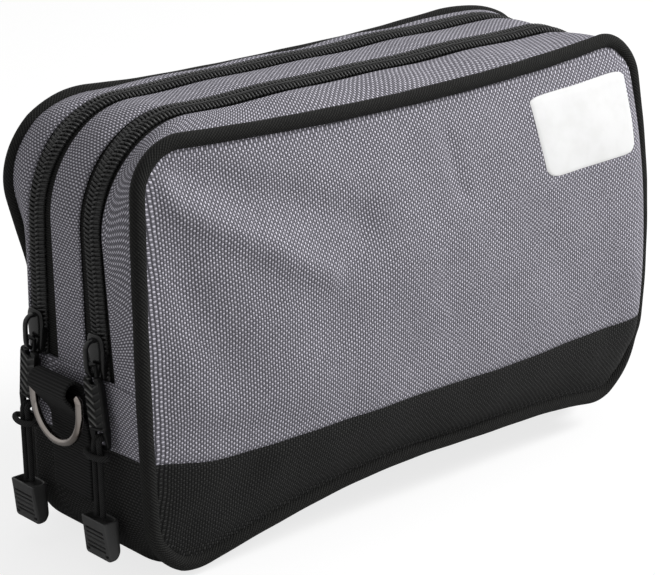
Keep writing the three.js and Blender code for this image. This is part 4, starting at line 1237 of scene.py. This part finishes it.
def piping_part(side):
    """The piping: a cord along the rim, whose thickness is a little uneven."""
    t, run = stations(0, 4, CLOTH_STEP, side)
    lumps = 1 + 0.02 * np.sin(run[:-1] / 11) + 0.015 * np.sin(run[:-1] / 4.3 + 1)
    return tube(bag_points(t[:-1], side), PIPING_RADIUS * lumps, 20, closed=True)


# Heights between which a flap's fold runs, given with the zipper's cloths and the front or rear; nothing
# here turns the pieces with a flap
FLAP_FOLD = dict(start=(0, 0, 0.1), end=(0, 0, 0.134))
CLOTH_FOLD = dict(start=(0, 0, 0.084), end=(0, 0, 0.118))

ZIP_RUN = (FOLD_SHARE, 3 - FOLD_SHARE)
CLOTH_EDGE = RIM_HALF_DEPTH - 1.6
outer_edge, inner_edge = ZIP_TOP_Y + ZIP_HALF_OPENING, ZIP_TOP_Y - ZIP_HALF_OPENING
gusset_loop = nose_loop(outer_edge, CLOTH_EDGE, 0, 1.5, 1.5)
outer_tape_loop = nose_loop(ZIP_TOP_Y + COIL_SLOT, outer_edge + 3, 1.7, 2.3, 1.4)
inner_tape_loop = nose_loop(inner_edge - 3, ZIP_TOP_Y - COIL_SLOT, 1.7, 2.3, 1.4)

for name, side in SIDES:
    on_sheet, on_strip = (f"{name}_flap", CLOTH_FOLD), (f"{name}_flap", FLAP_FOLD)
    panel = (f"{name}_panel", f"{name}_panel_lower")
    make_piece(f"{name}_cloth", [panel_part(side, BAND_SHARE, 1)], GREY_CLOTH, on_sheet, panel)
    band = (f"{name}_base_band",)
    make_piece(f"{name}_foot_cloth", [panel_part(side, 0, BAND_SHARE)], BLACK_CLOTH, "bag", band)
    rim = (f"{name}_piping_upper", f"{name}_piping_lower")
    make_piece(f"{name}_piping", [piping_part(side)], PIPING, on_sheet, rim)
    gusset = strip(*ZIP_RUN, gusset_loop, side, CLOTH_STEP)
    make_piece(f"{name}_gusset_cloth", [gusset], GREY_CLOTH, on_strip, (f"{name}_gusset",))
    for half, loop, body in (("outer", outer_tape_loop, on_strip), ("inner", inner_tape_loop, "bag")):
        tape = strip(*ZIP_RUN, loop, side, TAPE_STEP, 0)
        make_piece(f"{name}_{half}_tape", [tape], TAPE, body, (f"{name}_zip_{half}_tape",))

middle_loop = nose_loop(-inner_edge, inner_edge, 0, 1.5, 1.5)
middle = strip(*ZIP_RUN, middle_loop, 1, CLOTH_STEP)
make_piece("middle_strip", [middle], GREY_CLOTH, "bag", ("middle_gusset",))
end_loop = nose_loop(-CLOTH_EDGE, CLOTH_EDGE, -0.7, 1.0, CLOTH_STEP)
low_seam, high_seam = BAND_SHARE - 0.004, FOLD_SHARE + 0.003
for name, seams in (("left", (low_seam, high_seam)), ("right", (3 - high_seam, 3 - low_seam))):
    cloth = strip(*seams, end_loop, 1, CLOTH_STEP, 1.2)
    make_piece(f"{name}_end_cloth", [cloth], GREY_CLOTH, "bag", (f"{name}_end_panel",))
base_loop = nose_loop(-CLOTH_EDGE, CLOTH_EDGE, 0, 1.6, 1.8)
base = strip(3 - BAND_SHARE - 0.01, 4 + BAND_SHARE + 0.01, base_loop, 1, 1.8)
make_piece("base_cloth", [base], BLACK_CLOTH, "bag", ("base_gusset",))


def divider_part():
    """The divider: rings of the master surface at v = 0, shrunk towards the middle of the bag, as a
    front and a back that wave alike."""
    t, _ = stations(0, 4, 4, 0.0)
    ring = ring_points(t[:-1], 0.0, CLOTH + 0.3)
    middle = np.array([0, 0, TOP_HEIGHT / 2])
    share = np.array([1, 0.97, 0.9, 0.75, 0.5, 0.25, 0.02])[:, None, None]
    sheet = middle + (ring - middle) * share
    sheet[..., 1] += 0.8 * np.sin(sheet[..., 0] / 28) * np.sin(sheet[..., 2] / 25)
    half = np.array([0, CLOTH / 2, 0])
    points = np.concatenate([sheet - half, sheet[::-1] + half])
    a, b = np.arange(len(points) + 1) * 20, np.linspace(0, 900, len(ring) + 1)
    return lattice(points, a, b, wrap_a=True, wrap_b=True)


make_piece("divider_cloth", [divider_part()], BLACK_CLOTH, "bag", ("divider",))


# Zipper teeth, their core and the sewing thread


def rods(side, sign, path, radius, sides, offset):
    """One rod per tooth: its path of (along, from the zipper's middle, height) is given rings in
    that flat space, then each ring is laid on the ring of cloth."""
    path = np.asarray(path, float)
    dense = np.linspace(*ZIP_RUN, 3000)
    run = run_length(ring_points(dense, side * ZIP_TOP_Y / RIM_HALF_DEPTH))
    heading = np.gradient(path[:, 1:], axis=0)
    normal = unit(np.stack([-heading[:, 1], heading[:, 0]], -1))
    angle = np.linspace(0, 2 * np.pi, sides, endpoint=False)
    girth = np.full((len(path), 1), radius)
    girth[[0, -1]] *= 0.6
    lift = girth * np.sin(angle)
    along = path[:, None, 0] + girth * np.cos(angle)
    across = path[:, None, 1] + lift * normal[:, None, 0]
    height = path[:, None, 2] + lift * normal[:, None, 1]
    count = int((run[-1] - 2 * TOOTH_PITCH) / TOOTH_PITCH)
    starts = TOOTH_PITCH * (np.arange(count) + 1) + offset
    t = np.interp(starts[:, None, None] + along[None], run, dense)
    v = side * (ZIP_TOP_Y + sign * across) / RIM_HALF_DEPTH
    points = bag_points(t, np.broadcast_to(v, t.shape), np.broadcast_to(-height, t.shape))
    i, j = np.arange(len(path) - 1)[:, None] * sides, np.arange(sides)[None, :]
    j1 = (j + 1) % sides
    quads = np.stack([i + j, i + sides + j, i + sides + j1, i + j1], -1).reshape(-1, 4)
    fan = np.arange(1, sides - 1)
    start_cap = np.stack([0 * fan, fan, fan + 1], -1)
    end_cap = np.stack([0 * fan, fan + 1, fan], -1) + (len(path) - 1) * sides
    return repeated(points.reshape(count, -1, 3), [quads, start_cap, end_cap])


TOOTH_PATH = [
    (1.15, 4.7, -1.4),
    (1.05, 4.9, -0.2),
    (0.85, 4.1, 0.95),
    (0.45, 2.6, 1.3),
    (0.0, 1.0, 1.2),
    (-0.2, -0.1, 0.7),
    (-0.25, -0.5, -0.3),
]
THREAD_PATH = [(-1.0, 3.2, 1.35), (-0.5, 3.2, 1.95), (0.35, 3.2, 2.0), (0.95, 3.2, 1.45)]

for name, side in SIDES:
    for half, sign, offset in (("outer", 1, 0.0), ("inner", -1, TOOTH_PITCH / 2)):
        body = (f"{name}_flap", FLAP_FOLD) if half == "outer" else "bag"
        near, far = sorted((ZIP_TOP_Y + sign * 0.5, ZIP_TOP_Y + sign * 4.9))
        core = strip(*ZIP_RUN, nose_loop(near, far, -0.3, 1.75, 1.4), side, TAPE_STEP, 0)
        teeth = rods(side, sign, TOOTH_PATH, TOOTH_RADIUS, 6, offset)
        make_piece(f"{name}_{half}_coil", [teeth, core], COIL, body, (f"{name}_zip_{half}_coil",))
        sewing = rods(side, sign, THREAD_PATH, THREAD_RADIUS, 5, offset)
        make_piece(f"{name}_{half}_coil_thread", [sewing], THREAD, body)


# Stage: floor, light and backdrop

# Name, place, size and power of the lamps, in metres and watts
LAMPS = (("key", (1.5, -1.15, 1.7), 0.9, 49.0), ("top", (0.1, 0.2, 1.9), 1.2, 2.0))
LAMPS_AIM = Vector((0, 0, 0.1))


def make_floor():
    """A pale floor that the camera sees as nearly white, with the object's shadow kept on it."""
    floor = Recipe("floor_white", Roughness=1.0, Specular_IOR_Level=0.0)
    floor.paint((*grey(0.8), 1))
    seen = floor.field("LightPath", output="Is Camera Ray")
    pale = floor.field("BsdfDiffuse", Color=(*grey(0.3), 1))
    both = floor.field("AddShader", pale, floor.field("Emission", Strength=0.78))
    floor.show(floor.field("MixShader", seen, Field(floor, floor.shader.outputs[0]), both))
    mesh = bpy.data.meshes.new("floor")
    reach = 12.0
    corners = [(-reach, -reach, 0), (reach, -reach, 0), (reach, reach, 0), (-reach, reach, 0)]
    mesh.from_pydata(corners, [], [(0, 1, 2, 3)])
    ground = add_object("floor", mesh)
    mesh.materials.append(floor.material)
    ground.location.z = -0.0005


def make_lights():
    """A dim even world, which the camera, gloss and glass see as a pale backdrop, and two lamps."""
    world = bpy.data.worlds.new("studio")
    bpy.context.scene.world = world
    studio = Nodes(world, "OutputWorld")
    sky = studio.field("Background", Color=(1, 1, 1, 1), Strength=0.35)
    white = studio.field("Background", Strength=1.0)
    seen, gloss, through = (
        studio.field("LightPath", output=f"Is {kind} Ray") for kind in ("Camera", "Glossy", "Transmission")
    )
    pick = studio.math("MAXIMUM", studio.math("MAXIMUM", seen, gloss), through)
    studio.show(studio.field("MixShader", pick, sky, white))
    for name, place, size, power in LAMPS:
        data = bpy.data.lights.new(name, "AREA")
        data.size, data.energy = size, power
        lamp = add_object(name, data)
        turn = (LAMPS_AIM - Vector(place)).to_track_quat("-Z", "Y").to_matrix().to_4x4()
        lamp.matrix_world = Matrix.Translation(place) @ turn


make_floor()
make_lights()
bpy.context.scene.view_settings.view_transform = "Standard"
